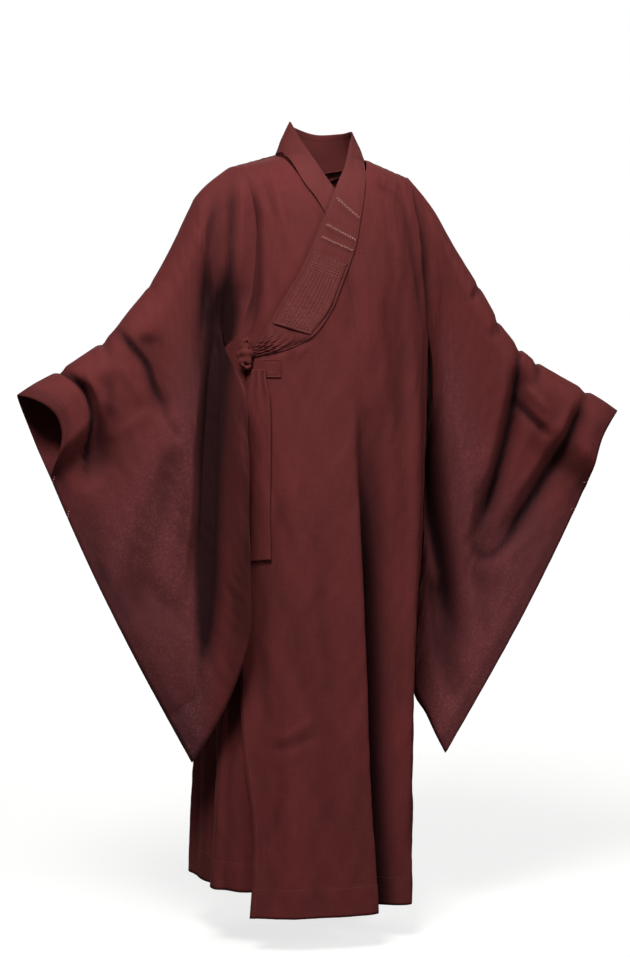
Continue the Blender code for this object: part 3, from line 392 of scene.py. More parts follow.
LEFT_SLEEVE_LINES = (
    Line(0.0070, 0.008, 0.007, ((0.150, -0.030), (0.158, -0.110), (0.166, -0.200), (0.176, -0.320))),
    Line(-0.0045, 0.007, 0.008, ((0.162, -0.070), (0.172, -0.150), (0.182, -0.260))),
    Line(0.0080, 0.010, 0.010, (
        (0.169, -0.060), (0.175, -0.177), (0.177, -0.299), (0.187, -0.422),
        (0.206, -0.563),
    )),
    Line(0.0060, 0.010, 0.013, (
        (0.187, -0.400), (0.206, -0.563), (0.228, -0.706), (0.246, -0.830),
        (0.252, -0.930),
    )),
    Line(-0.0050, 0.006, 0.006, ((0.190, -0.080), (0.196, -0.200), (0.203, -0.330))),
    Line(-0.0050, 0.014, 0.014, ((0.224, -0.400), (0.252, -0.560), (0.268, -0.700), (0.290, -0.840))),
    Line(0.0050, 0.012, 0.010, ((0.205, -0.709), (0.212, -0.853), (0.233, -0.944))),
    Line(0.0060, 0.005, 0.006, ((0.282, -0.212), (0.268, -0.230), (0.252, -0.252))),
    Line(0.0100, 0.009, 0.005, (
        (0.352, -0.290), (0.346, -0.360), (0.343, -0.420), (0.330, -0.500),
        (0.306, -0.600), (0.282, -0.690),
    )),
    Line(-0.0070, 0.014, 0.009, ((0.318, -0.320), (0.316, -0.410), (0.300, -0.500), (0.272, -0.620))),
    Line(0.0100, 0.010, 0.005, ((0.336, -0.410), (0.356, -0.440), (0.380, -0.466), (0.412, -0.496))),
    Line(-0.0050, 0.010, 0.008, ((0.350, -0.395), (0.378, -0.425), (0.405, -0.450))),
    Line(0.0090, 0.005, 0.018, (
        (0.474, -0.380), (0.464, -0.445), (0.432, -0.510), (0.386, -0.590),
        (0.336, -0.670), (0.300, -0.720),
    )),
    Line(-0.0060, 0.014, 0.008, ((0.450, -0.400), (0.436, -0.452), (0.396, -0.520), (0.344, -0.610))),
    Line(0.0060, 0.009, 0.010, (
        (0.376, -0.600), (0.330, -0.686), (0.296, -0.708), (0.272, -0.690),
        (0.272, -0.650),
    )),
    Line(-0.0050, 0.014, 0.012, ((0.300, -0.560), (0.292, -0.620), (0.296, -0.672))),
    Line(0.0045, 0.010, 0.010, ((0.315, -0.275), (0.300, -0.300), (0.282, -0.316))),
    Line(0.0050, 0.010, 0.010, ((0.385, -0.352), (0.378, -0.380), (0.362, -0.410))),
    Line(0.0040, 0.014, 0.014, ((0.272, -0.700), (0.290, -0.780), (0.298, -0.880))),
    Line(-0.0035, 0.016, 0.016, ((0.340, -0.700), (0.322, -0.800), (0.300, -0.900))),
)
LEFT_SLEEVE_BACK_LINES = (
    Line(0.0065, 0.010, 0.012, ((0.170, -0.080), (0.184, -0.200), (0.200, -0.340), (0.226, -0.560))),
    Line(-0.0050, 0.012, 0.012, ((0.216, -0.160), (0.236, -0.320), (0.262, -0.520))),
    Line(0.0090, 0.010, 0.014, ((0.346, -0.330), (0.330, -0.430), (0.300, -0.560), (0.280, -0.690))),
    Line(0.0080, 0.010, 0.012, ((0.466, -0.410), (0.440, -0.480), (0.380, -0.580), (0.322, -0.660))),
    Line(-0.0055, 0.012, 0.012, ((0.410, -0.390), (0.394, -0.460), (0.356, -0.560))),
    Line(0.0045, 0.014, 0.014, ((0.280, -0.260), (0.284, -0.380), (0.270, -0.520))),
    Line(0.0040, 0.012, 0.016, ((0.250, -0.700), (0.262, -0.820), (0.270, -0.930))),
)

# Nicks in the sleeves' top outline where the cloth bunches on the arm, along the sleeve
Nick = namedtuple("Nick", "along depth width")
RIGHT_SLEEVE_NICKS = (
    Nick(0.46, 0.003, 0.016),
    Nick(0.715, 0.006, 0.014),
    Nick(0.875, 0.007, 0.012),
)
LEFT_SLEEVE_NICKS = (
    Nick(0.42, 0.003, 0.010),
    Nick(0.535, 0.008, 0.014),
    Nick(0.645, 0.009, 0.013),
    Nick(0.715, 0.007, 0.010),
    Nick(0.885, 0.006, 0.012),
)
NICK_REACH = 0.10

# What differs between the sleeves. Creases and lines are the front layer's and the back layer's.
SleeveForm = namedtuple("SleeveForm", "rows creases lines nicks cuff_pull")
SLEEVES = {
    -1: SleeveForm(
        RIGHT_SLEEVE,
        (RIGHT_SLEEVE_CREASES, RIGHT_SLEEVE_BACK_CREASES),
        (RIGHT_SLEEVE_LINES, RIGHT_SLEEVE_BACK_LINES),
        RIGHT_SLEEVE_NICKS,
        RIGHT_CUFF_PULL,
    ),
    1: SleeveForm(
        LEFT_SLEEVE,
        (LEFT_SLEEVE_CREASES, LEFT_SLEEVE_BACK_CREASES),
        (LEFT_SLEEVE_LINES, LEFT_SLEEVE_BACK_LINES),
        LEFT_SLEEVE_NICKS,
        LEFT_CUFF_PULL,
    ),
}
# How a sleeve's rings crowd towards the armhole, a ring's points towards its top, and how the
# ring's middle bends from its top to its bottom
RINGS_CROWD = 1.1
POINTS_CROWD = 1.15
MIDDLE_BEND = 1.3

CREASE_STEPS = 72
CREASE_POWER = 1.6

# Soft waves of the hanging cloth: how far apart, how much longer than wide, and how high
Wave = namedtuple("Wave", "apart stretch height seed")
SKIRT_WAVE = Wave(0.075, 7.0, 0.0022, 11)
CHEST_WAVE = Wave(0.045, 3.0, 0.0008, 17)
SMALL_WAVE = Wave(0.020, 2.6, 0.00035, 23)
SLEEVE_WAVE = Wave(0.080, 5.0, 0.0024, 31)
SLEEVE_SMALL_WAVE = Wave(0.024, 2.4, 0.0005, 37)
WAVE_COUNT = 8

# Hems, seams and stitched channels
HEM_DEPTH = 0.050
HEM_STEP = 0.0007
MOUTH_HEM_DEPTH = 0.015
BAND_LINE_SINK = 0.0006
BAND_EDGE_LINES = (0.055, 0.105)
BAND_EDGE_LINE_WIDTH = 0.014
BAND_SEAM_LINE_WIDTH = 0.016
BAND_SEAM_LINE = 0.955
BAND_BARS = (6.78, 6.05, 5.60)
BAR_WIDTH = 0.075
BAR_HEIGHT = 0.0011
BAND_RIPPLE = 0.0006
# The puckers where the band's outer end is gathered, in radians across and along the band
Pucker = namedtuple("Pucker", "height across along phase")
BAND_PUCKERS = (Pucker(0.0022, 34, 5.5, 0.0), Pucker(0.0012, 55, -9, 1.0))
# How far the band's seam edge settles on the cloth round the neck
NECK_SEAT = 0.0065
PATCH_CHANNELS = 11
CHANNEL_HEIGHT = 0.0007
PATCH_EDGE = 0.035
PATCH_PUCKER = 0.0002
PATCH_BULGE = 0.0010
PATCH_END_ROLL = 0.0007

# How much of the cloth's relief is its threads, beside its uneven yarn
THREAD_RELIEF = 0.35

# How high the stitches lie on the cloth, where the mouths' tacks are, and how a tack runs
STITCH_LIFT = 0.0002
MOUTH_TACKS = {-1: (0.235, 0.33), 1: (0.21, 0.29)}
TACK_ROWS = np.array([1.1, 1.4, 2.0])
TACK_COLUMNS = np.array([0, 0.3, 0.9])

# The back of the neck: the backs' inner edges, by how far they lie below the neck point, as a
# share of the way out to it
BackNeck = namedtuple("BackNeck", "drop share")
BACK_NECK = (
    BackNeck(0.000, 1.00),
    BackNeck(0.003, 0.96),
    BackNeck(0.014, 0.66),
    BackNeck(0.025, 0.0),
)

# Painted shade: where the cloth darkens, from 0 to 1, as if shaded in its hollows, creases and folds.
# Small and large hollows: how many cells round a point they are looked for, and how deep is full. Then
# how deep a small crease and a fold are full, how dark the sleeves' hems are, and how dark the
# painted shade on the right sleeve's inner side, turned from the light, is.
HOLLOW_CELLS = (3, 9)
HOLLOW_FULL = (0.016, 0.045)
LINE_FULL = 0.024
FOLD_FULL = 0.054
HEM_DARK = 0.35
SIDE_SHADE = 0.38

# The denser cloth let in at the tip of the wearer's right sleeve, below this line
TIP_X, TIP_Z, TIP_SLOPE = -0.266, -0.938, 1.04

# The ties' patch and knot
TIE_PATCH_CELLS = 41
FREE_EDGE_STITCH = 0.022
KnotLoop = namedtuple("KnotLoop", "height width tall lean")
KNOT_LOOPS = (KnotLoop(0.017, 0.0085, 0.0125, 0.20), KnotLoop(-0.016, 0.0100, 0.0110, -0.25))
KNOT_LOOP_RADII = (0.62, 0.30)
KNOT_LOOP_DEPTH = 0.013
KNOT_UV_SIZE = 0.08

# The studio
FLOOR_Z = -1.372
FLOOR_RADIUS = 40.0
FLOOR_THICKNESS = 0.02
# The floor's own light, dim below the robe and full away from it, and where it starts and ends
FLOOR_GLOW = 0.76
FLOOR_GLOW_REACH = (1.6, 4.5)
KEY_PLACE = (-1.0, -2.0, 2.2)
KEY_SIZE = 1.1
FILL_PLACE = (2.0, -2.8, 0.7)
FILL_SIZE = 1.4
BACK_PLACE = (0.6, 3.2, 1.6)
BACK_SIZE = 2.0
LIGHT_AIM = (0.0, 0.0, -0.5)
CAMERA_AZIMUTH = -12
CAMERA_ELEVATION = 5
CAMERA_DISTANCE = 4.0
CAMERA_AIM_RIGHT = -0.012
CAMERA_AIM_Z = -0.562
CAMERA_LENS = 85
CAMERA_SENSOR = 36


def column(rows, name):
    """One named column of a table, as an array."""
    return np.array([getattr(row, name) for row in rows], float)


def smooth_line(at, knots, values):
    """Reads a smooth line through values at rising knots, held level past its ends."""
    slopes = np.gradient(values, knots)
    at = np.clip(at, knots[0], knots[-1])
    left = np.clip(np.searchsorted(knots, at) - 1, 0, len(knots) - 2)
    width = knots[left + 1] - knots[left]
    t = (at - knots[left]) / width
    return (
        values[left] * (1 + 2 * t) * (1 - t) ** 2
        + values[left + 1] * t**2 * (3 - 2 * t)
        + slopes[left] * width * t * (1 - t) ** 2
        - slopes[left + 1] * width * t**2 * (1 - t)
    )


def ease(value, start, end):
    """Rises smoothly from 0 at start to 1 at end."""
    t = np.clip((value - start) / (end - start), 0, 1)
    return t * t * (3 - 2 * t)


def ring_value(name, z):
    return smooth_line(z, column(RINGS, "z"), column(RINGS, name))


def shoulder_height(x):
    return np.interp(x, column(SHOULDER_LINE, "x"), column(SHOULDER_LINE, "z"))


def squared_off(value):
    """A sine or a cosine, drawn out so that a ring lies between a circle and a square."""
    return np.sign(value) * np.abs(value) ** (2 / RING_POWER)


def rise_share(height):
    """How far up to the shoulders a height above the chest line reaches, from 0 to 1."""
    return np.sin(np.clip(height, 0, 1) * math.pi / 2) ** (2 / SHOULDER_POWER)


def turned_back(theta, front):
    """An angle at the front as it is, or mirrored to the back."""
    return np.where(front, theta, np.sign(theta + 1e-9) * math.pi - theta)


def bare_body(theta, height):
    """The body before its folds. Theta is the angle from the front. Height is in metres below
    the chest line, and above it is the share of the turn up to the shoulder."""
    rise = rise_share(height)
    turn = np.clip(np.cos(np.clip(height, 0, 1) * math.pi / 2), 0, 1) ** (2 / SHOULDER_POWER)
    ring_z = CHEST_Z + np.minimum(height, 0) - CHEST_Z * rise
    across, inward = squared_off(np.sin(theta)), squared_off(np.cos(theta))
    x = ring_value("centre_x", ring_z) + ring_value("half_width", ring_z) * across
    depth = np.where(inward > 0, ring_value("front_depth", ring_z), ring_value("back_depth", ring_z))
    y = -depth * inward * turn
    z = CHEST_Z + np.minimum(height, 0) + (shoulder_height(x) - CHEST_Z) * rise
    return np.stack([x, y, z], -1)


def bare_normal(theta, height):
    """The outward direction of the body, from points a small step to each side."""
    height_step = np.where(height > 0, NORMAL_STEP * 4, NORMAL_STEP)
    height = np.minimum(height, 1 - NORMAL_STEP * 4)
    around = bare_body(theta + NORMAL_STEP, height) - bare_body(theta - NORMAL_STEP, height)
    upward = bare_body(theta, height + height_step) - bare_body(theta, height - height_step)
    normal = np.cross(around, upward)
    return normal / np.linalg.norm(normal, axis=-1, keepdims=True)


def fold_lift(theta, z):
    """How far the body's folds stand out at an angle and a height."""
    lift = np.zeros(np.broadcast(theta, z).shape)
    degrees = np.degrees(theta)
    radius = ring_value("half_width", z)
    for fold in BODY_FOLDS:
        share = np.clip((z - fold.top_z) / (HEM_Z - fold.top_z), -0.1, 1)
        centre = fold.top_angle + (fold.low_angle - fold.top_angle) * share
        off = np.radians((degrees - centre + 180) % 360 - 180) * radius
        flank = np.where(off < 0, fold.right_flank, fold.left_flank)
        fade = ease(-z, -fold.top_z - 0.08, -fold.top_z + fold.reach)
        lift = lift + fold.height * np.exp(-((off / flank) ** 2)) * fade
    return lift


def wave_field(across, along, wave):
    """Soft uneven waves over two lengths in metres, between about -1 and 1."""
    draw = np.random.default_rng(wave.seed)
    total = np.zeros(np.broadcast(across, along).shape)
    for _ in range(WAVE_COUNT):
        apart = wave.apart * draw.uniform(0.7, 1.7)
        tilt = draw.uniform(-0.5, 0.5) / wave.stretch
        phase, bend_phase = draw.uniform(0, 2 * math.pi, 2)
        bend = 1.3 * np.sin(2 * math.pi * along / (apart * wave.stretch) + bend_phase)
        total += np.sin(2 * math.pi * (across + tilt * along) / apart + phase + bend)
    return total / math.sqrt(WAVE_COUNT)


@functools.cache
def crease_path(points):
    """A crease's line as close points, with its heading at each."""
    knots = np.array(points)
    run = np.concatenate([[0], np.cumsum(np.hypot(*np.diff(knots, axis=0).T))])
    at = np.linspace(0, run[-1], CREASE_STEPS)
    line = np.stack([smooth_line(at, run, knots[:, axis]) for axis in (0, 1)], 1)
    heading = np.gradient(line, axis=0)
    return line, heading / np.linalg.norm(heading, axis=1, keepdims=True)


def line_sink(x, z, lines):
    """How far the smaller creases sink the cloth at x and z."""
    x, z = np.broadcast_arrays(np.asarray(x, float), np.asarray(z, float))
    sink = np.zeros(x.shape)
    for line in lines:
        path, heading = crease_path(line.points)
        reach = 3 * max(line.near, line.far)
        low, high = path.min(0) - reach, path.max(0) + reach
        close = (x > low[0]) & (x < high[0]) & (z > low[1]) & (z < high[1])
        if not close.any():
            continue
        off = np.stack([x[close], z[close]], -1)[:, None] - path
        nearest = np.argmin((off**2).sum(-1), -1)
        off = off[np.arange(len(off)), nearest]
        turn = heading[nearest]
        side = turn[:, 0] * off[:, 1] - turn[:, 1] * off[:, 0]
        flank = np.where(side < 0, line.near, line.far)
        past = np.abs((turn * off).sum(1)) - np.hypot(*(path[1] - path[0])) * 0.6
        distance = np.hypot(side, np.maximum(past, 0))
        share = nearest / (CREASE_STEPS - 1)
        ends = ease(share, 0, 0.28) * (1 - ease(share, 0.66, 1))
        sink[close] += line.sink * np.exp(-((distance / flank) ** CREASE_POWER)) * ends
    return sink


def fold_shade(folds, lines):
    """Painted shade: how far folds and smaller creases that sink this deep darken, from 0 to 1."""
    return np.clip(np.maximum(folds, 0) / FOLD_FULL + np.maximum(lines, 0) / LINE_FULL, 0, 1)


def body_fold_shade(points):
    """Painted shade of the body's folds at points on it, from 0 to 1."""
    x, y, z = np.moveaxis(points, -1, 0)
    theta = turned_back(angle_of(x, z), y < 0)
    lines = np.where(y < 0, line_sink(x, z, FRONT_LINES), line_sink(x, z, BACK_LINES))
    return fold_shade(-fold_lift(theta, z), lines)


def fine_lift(theta, points):
    """How far the smaller creases and the soft waves of the hanging cloth lift the body."""
    x, z = points[..., 0], points[..., 2]
    facing = np.cos(theta)
    front = line_sink(x, z, FRONT_LINES) * ease(facing, 0.0, 0.12)
    back = line_sink(x, z, BACK_LINES) * ease(-facing, 0.0, 0.12)
    around = theta * ring_value("half_width", z)
    skirt = wave_field(around, z, SKIRT_WAVE) * SKIRT_WAVE.height * ease(-z, 0.36, 0.95)
    chest = wave_field(around, z, CHEST_WAVE) * CHEST_WAVE.height * ease(-z, 0.02, 0.12)
    small = wave_field(around, z, SMALL_WAVE) * SMALL_WAVE.height
    return skirt + chest + small - front - back


def body_points(theta, height, lift=0.0, folded=1.0):
    """Points on the body's outer face, raised by lift."""
    theta, height = np.broadcast_arrays(np.asarray(theta, float), np.asarray(height, float))
    points = bare_body(theta, height)
    out = np.asarray(lift) + folded * fold_lift(theta, points[..., 2]) + fine_lift(theta, points)
    return points + bare_normal(theta, height) * np.broadcast_to(out, theta.shape)[..., None]


def angle_of(x, z):
    """The angle at which the front of the body passes x."""
    share = (x - ring_value("centre_x", z)) / ring_value("half_width", z)
    return np.sign(share) * np.arcsin(np.clip(np.abs(share), 0, 1) ** (RING_POWER / 2))


def height_of(x, z):
    """The height value at which the body passes z at x."""
    share = np.clip((z - CHEST_Z) / (shoulder_height(x) - CHEST_Z), 0, 1)
    above = np.arcsin(share ** (SHOULDER_POWER / 2)) / (math.pi / 2)
    return np.where(z < CHEST_Z, z - CHEST_Z, above)


def place_on_front(x, z, lift=0.0):
    """The point of the front at x and z, raised by lift."""
    x, z = np.broadcast_arrays(np.asarray(x, float), np.asarray(z, float))
    return body_points(angle_of(x, z), height_of(x, z), lift)


def place_on_shoulder(x, y, lift=0.0):
    """The point of the shoulders at x and y, raised by lift."""
    front = np.asarray(y) < 0
    theta = angle_of(x, np.zeros_like(x))
    depth = np.where(front, ring_value("front_depth", 0.0), ring_value("back_depth", 0.0))
    turn = np.abs(y) / (depth * np.cos(theta) ** (2 / RING_POWER))
    height = np.arccos(np.clip(turn, 0, 1) ** (SHOULDER_POWER / 2)) / (math.pi / 2)
    return body_points(turned_back(theta, front), height, lift)


def overlap_lift(x):
    """The outer layer stands off the inner one, and this fades at the wearer's left."""
    return LAYER_SPACING / 2 * (1 - ease(x, 0.06, 0.15))


def folded_where_free(x):
    """The inner layer hangs plain where the outer one covers it."""
    return 1 - covered(x)


def covered(x):
    """How far the inner layer is under the outer one, which ends at the wearer's right."""
    return ease(x, -0.155, -0.095)


def under_lift(x, z):
    """The inner layer lies under the outer one, and hangs further in below the waist."""
    hang = INNER_HANG * covered(x) * ease(-z, 0.32, 0.60)
    beside_edge = np.exp(-(((x + 0.135) / 0.030) ** 2)) * ease(-z, 0.45, 0.80)
    under_left = 0.005 * ease(x, 0.02, 0.11)
    return -LAYER_SPACING / 2 * covered(x) - hang - 0.014 * beside_edge - under_left


def hem_rise(degrees, height):
    """How much higher the cloth lies near the hem, where the wearer's right side hangs shorter."""
    right_side = ease(degrees, -176, -120) * (1 - ease(degrees, -6, 10))
    return SHORT_HEM_RISE * right_side * ease(-height, 0.55, CHEST_Z - HEM_Z)


def armhole_angle(name, height):
    """The angle from the front, or for the back from the back, of an armhole's edge."""
    return np.radians(np.interp(height, column(ARMHOLES, "height"), column(ARMHOLES, name)))


def edge_at(z, rows, neck_point):
    """Where a front's or back's inner edge passes a height, from its table up to the neck."""
    heights = np.array([row[1] for row in rows] + [neck_point.z])
    places = np.array([row[0] for row in rows] + [neck_point.x])
    return np.interp(z, heights, places)


def left_centre_front(z):
    """The angle of the seam between the left front and the outer overlap."""
    return np.interp(z, column(OUTER_CENTRE_FRONT, "z"), column(OUTER_CENTRE_FRONT, "angle"))


def left_front_edge(z):
    """The angle of the left front's inner edge: the centre front, and then the band's seam."""
    rows = [(band.seam_x - EDGE_LAP, band.seam_z) for band in OUTER_BAND[5:]]
    along_band = np.degrees(angle_of(edge_at(z, rows, LEFT_NECK_POINT), z))
    return math.radians(left_centre_front(z) if z < CENTRE_FRONT_TOP else along_band)


def right_front_edge(z):
    """The angle of the right front's inner edge: the centre front, and then the band's seam."""
    rows = [(band.seam_x + EDGE_LAP, band.seam_z) for band in INNER_BAND[2::-1]]
    along_band = np.degrees(angle_of(edge_at(z, rows, RIGHT_NECK_POINT), z))
    return math.radians(min(INNER_CENTRE_FRONT_ANGLE, along_band))


def back_edge(z, neck_point):
    """The angle from the centre back of a back's inner edge."""
    reach = np.interp(neck_point.z - z, column(BACK_NECK, "drop"), column(BACK_NECK, "share"))
    return abs(angle_of(ring_value("centre_x", z) + abs(neck_point.x) * reach, z))


def hem_step(above_hem):
    """The turned-up hem is two layers, so it stands out a little up to its line of stitches."""
    return HEM_STEP * (1 - ease(above_hem, HEM_DEPTH - 0.004, HEM_DEPTH + 0.004))


def armhole_heights(count):
    """Heights up the armhole, evenly through its table."""
    at = np.linspace(0, len(ARMHOLES) - 1, count)
    return np.interp(at, np.arange(len(ARMHOLES)), column(ARMHOLES, "height"))


@functools.cache
def body_half(side):
    """Half of the body: from the front hem over the shoulder and down to the back hem."""
    neck_point = LEFT_NECK_POINT if side > 0 else RIGHT_NECK_POINT
    front_edge = left_front_edge if side > 0 else right_front_edge
    front_hole = "left_front" if side > 0 else "right_front"
    low = np.linspace(HEM_Z - CHEST_Z, ARMHOLES[0].height, LOW_ROWS)[:-1]
    heights = np.concatenate([low, armhole_heights(ARMHOLE_ROWS)])
    across = np.linspace(0, 1, BODY_COLUMNS) ** (1.3 if side > 0 else 1.0)
    level = CHEST_Z + np.minimum(heights, 0) + (neck_point.z - CHEST_Z) * rise_share(heights)
    height = np.repeat(heights[:, None], BODY_COLUMNS, 1)
    inner = np.array([front_edge(z) for z in level])[:, None]
    outer = side * armhole_angle(front_hole, heights)[:, None]
    theta = inner + (outer - inner) * across
    x, z = bare_body(theta, height)[..., 0], level[:, None] + 0 * theta
    lift = overlap_lift(x) if side > 0 else under_lift(x, z)
    folded = 1.0 if side > 0 else folded_where_free(x)
    raised = height + hem_rise(np.degrees(theta), height)
    step = hem_step(height - heights[0])
    front = body_points(theta, raised, lift + step, folded)
    inner = side * (math.pi - np.array([back_edge(z, neck_point) for z in level]))[:, None]
    outer = side * (math.pi - armhole_angle("back", heights))[:, None]
    theta = inner + (outer - inner) * across
    raised = height + hem_rise(np.degrees(theta), height)
    back = body_points(theta, raised, step)
    grid = np.concatenate([front, back[-2::-1]])
    return grid if side > 0 else grid[:, ::-1]


def seam_height(x, bands):
    """How high a panel reaches under a band's seam edge."""
    order = np.argsort(column(bands, "seam_x"))
    return np.interp(x, column(bands, "seam_x")[order], column(bands, "seam_z")[order]) + EDGE_LAP


def front_x(theta, z):
    """Where the front of the body passes x at an angle and a height."""
    return ring_value("centre_x", z) + ring_value("half_width", z) * squared_off(np.sin(theta))


@functools.cache
def overlap(outer):
    """An overlap panel between two edges, from the hem up to the seam of its band."""
    first_edge, last_edge = (free_edge, outer_seam_edge) if outer else (inner_seam_edge, inner_free_edge)
    bands = OUTER_BAND if outer else INNER_BAND
    division = OUTER_OVERLAP if outer else INNER_OVERLAP
    shares = 1 - (1 - np.linspace(0, 1, division.columns)) ** division.power
    top = np.full(division.columns, CHEST_Z)
    for _ in range(20):
        theta = first_edge(top) + (last_edge(top) - first_edge(top)) * shares
        top = (top + seam_height(front_x(theta, top), bands)) / 2
    share = np.linspace(0, 1, division.rows)[:, None]
    z = HEM_Z + (top - HEM_Z) * share
    theta = first_edge(z) + (last_edge(z) - first_edge(z)) * shares
    x = front_x(theta, z)
    raised = height_of(x, z) + division.hem_rise * (1 - share) ** 2
    lift = outer_panel_lift(x, z) if outer else under_lift(x, z)
    folded = 1.0 if outer else folded_where_free(x)
    return body_points(theta, raised, lift + hem_step(z - HEM_Z), folded)


def free_edge(z):
    """The angle of the outer overlap's free edge."""
    z = np.asarray(z, float)
    return angle_of(smooth_line(z, column(OVERLAP_FREE_EDGE, "z"), column(OVERLAP_FREE_EDGE, "x")), z)


def outer_seam_edge(z):
    """The angle at which the outer overlap is sewn to the left front."""
    return np.radians(left_centre_front(z))


def inner_seam_edge(z):
    """The angle at which the inner overlap is sewn to the right front."""
    return np.full_like(z, math.radians(INNER_CENTRE_FRONT_ANGLE))


def inner_free_edge(z):
    """The angle of the inner overlap's free edge."""
    return np.full_like(z, math.radians(INNER_FREE_ANGLE))


def outer_panel_lift(x, z):
    """The outer overlap stands off the layer below, more so along its free edge."""
    beside_edge = (1 - ease(x, -0.165, -0.095)) * ease(-z, 0.50, 0.85)
    return overlap_lift(x) + FREE_EDGE_STAND_OFF * beside_edge


def band_points(bands, lift, stations, across):
    """A grid over a run of the collar band, from its neck edge to its seam edge."""
    index = np.arange(len(bands), dtype=float)
    at = np.linspace(0, len(bands) - 1, stations)
    edges = []
    for side in ("neck", "seam"):
        x, y, z = (column(bands, side + axis) for axis in ("_x", "_y", "_z"))
        on_body = np.isnan(y)
        on_shoulder = np.isnan(z)
        z = np.where(on_shoulder, 0.0, z)
        y = np.where(on_body, place_on_front(x, z, lift(x, z))[:, 1], y)
        raised = place_on_shoulder(x, np.where(on_shoulder, y, 0.0), lift(x, z))[:, 2]
        z = np.where(on_shoulder, raised, z)
        x, y, z = (smooth_line(at, index, values) for values in (x, y, z))
        flat = ease(np.interp(at, index, on_shoulder.astype(float)), 0, 1)
        raised = place_on_shoulder(x, np.where(flat > 0, y, 0.0), lift(x, z))[:, 2]
        edge = np.stack([x, y, z * (1 - flat) + raised * flat], -1)
        edges.append((edge, np.interp(at, index, on_body.astype(float))))
    (neck, neck_hug), (seam, seam_hug) = edges
    rows = []
    for share in across:
        free = neck + (seam - neck) * share
        hug = ease(neck_hug + (seam_hug - neck_hug) * share, 0, 1)[:, None]
        body = place_on_front(free[:, 0], free[:, 2], lift(free[:, 0], free[:, 2]))
        rows.append(free * (1 - hug) + body * hug)
    return np.stack(rows, 1)


def near_neck(z):
    """The band stands further off the cloth where that turns over the shoulders."""
    return NECK_STAND_OFF * ease(z, -0.13, -0.07)


def outer_band_lift(x, z):
    return outer_panel_lift(x, z) + BAND_WALL + LAP_CLEARANCE + near_neck(z)


def inner_band_lift(x, z):
    return under_lift(x, z) + BAND_WALL + LAP_CLEARANCE + near_neck(z)


def patch_lift(x, z):
    return outer_band_lift(x, z) + ON_PANEL


def crease_depth(x, z, creases):
    """How far the creases sink the cloth at x and z."""
    depth = np.zeros(np.broadcast(x, z).shape)
    for crease in creases:
        run_x, run_z = crease.end_x - crease.start_x, crease.end_z - crease.start_z
        length = math.hypot(run_x, run_z)
        share = ((x - crease.start_x) * run_x + (z - crease.start_z) * run_z) / length**2
        off = ((x - crease.start_x) * run_z - (z - crease.start_z) * run_x) / length
        off = off - crease.bend * 4 * share * (1 - share)
        flank = np.where(off < 0, crease.near_flank, crease.far_flank)
        ends = ease(share, -0.02, 0.16) * (1 - ease(share, 0.78, 1.04))
        depth = depth + crease.depth * np.exp(-((off / flank) ** 2)) * ends
    return depth


def grid_normals(points, closed=False):
    """The outward direction at each point of a grid."""
    if closed:
        wrapped = np.concatenate([points[:, -1:], points, points[:, :1]], 1)
        across = (wrapped[:, 2:] - wrapped[:, :-2]) / 2
    else:
        across = np.gradient(points, axis=1)
    normal = np.cross(across, np.gradient(points, axis=0))
    return normal / np.maximum(np.linalg.norm(normal, axis=-1, keepdims=True), 1e-12)


def displaced(points, lift, closed=False):
    return points + grid_normals(points, closed) * lift[..., None]


def groove(value, centre, width):
    return np.exp(-(((value - centre) / width) ** 2))


@functools.cache
def collar_grid():
    """The whole band: the outer run, the stand round the neck and the inner run, with rows of
    stitching sunk along its edges and three raised bars across the wearer's left front."""
    across = np.linspace(0, 1, BAND_COLUMNS)
    outer = band_points(OUTER_BAND + NECK_BAND[:1], outer_band_lift, OUTER_STATIONS, across)
    neck = band_points(NECK_BAND, outer_band_lift, NECK_STATIONS, across)
    inner = band_points(NECK_BAND[-1:] + INNER_BAND, inner_band_lift, INNER_STATIONS, across)
    points = np.concatenate([outer[:-1], neck, inner[1:]])
    rows = len(points)
    station = np.linspace(0, len(OUTER_BAND), OUTER_STATIONS)[:-1]
    station = np.concatenate([station, np.full(rows - len(station), 2.0 * len(OUTER_BAND))])[:, None]
    share = across[None, :] + 0 * station
    relief = -BAND_LINE_SINK * sum(groove(share, line, BAND_EDGE_LINE_WIDTH) for line in BAND_EDGE_LINES)
    relief = relief - BAND_LINE_SINK * groove(share, BAND_SEAM_LINE, BAND_SEAM_LINE_WIDTH)
    inside = ease(share, 0.10, 0.16) * (1 - ease(share, 0.90, 0.97))
    for bar in BAND_BARS:
        relief = relief + BAR_HEIGHT * groove(station, bar, BAR_WIDTH) * inside
        relief = relief - BAR_HEIGHT * 0.5 * groove(station, bar - 2.0 * BAR_WIDTH, BAR_WIDTH) * inside
    gathered = (1 - ease(station, 0.4, 1.9)) * np.sin(math.pi * np.clip(share, 0, 1)) ** 0.5
    for pucker in BAND_PUCKERS:
        turn = pucker.across * share + pucker.along * station + pucker.phase
        relief = relief + pucker.height * gathered * np.sin(turn)
    along = np.arange(rows)[:, None] / rows
    relief = relief + BAND_RIPPLE * np.sin(44 * along + 3 * share) * np.sin(19 * along + 1.7)
    row, last = np.arange(rows)[:, None], OUTER_STATIONS + NECK_STATIONS
    round_neck = ease(row, OUTER_STATIONS - 24, OUTER_STATIONS) * (1 - ease(row, last - 16, last + 8))
    points[..., 2] -= NECK_SEAT * round_neck * ease(share, 0.6, 1.0)
    return displaced(points, relief)


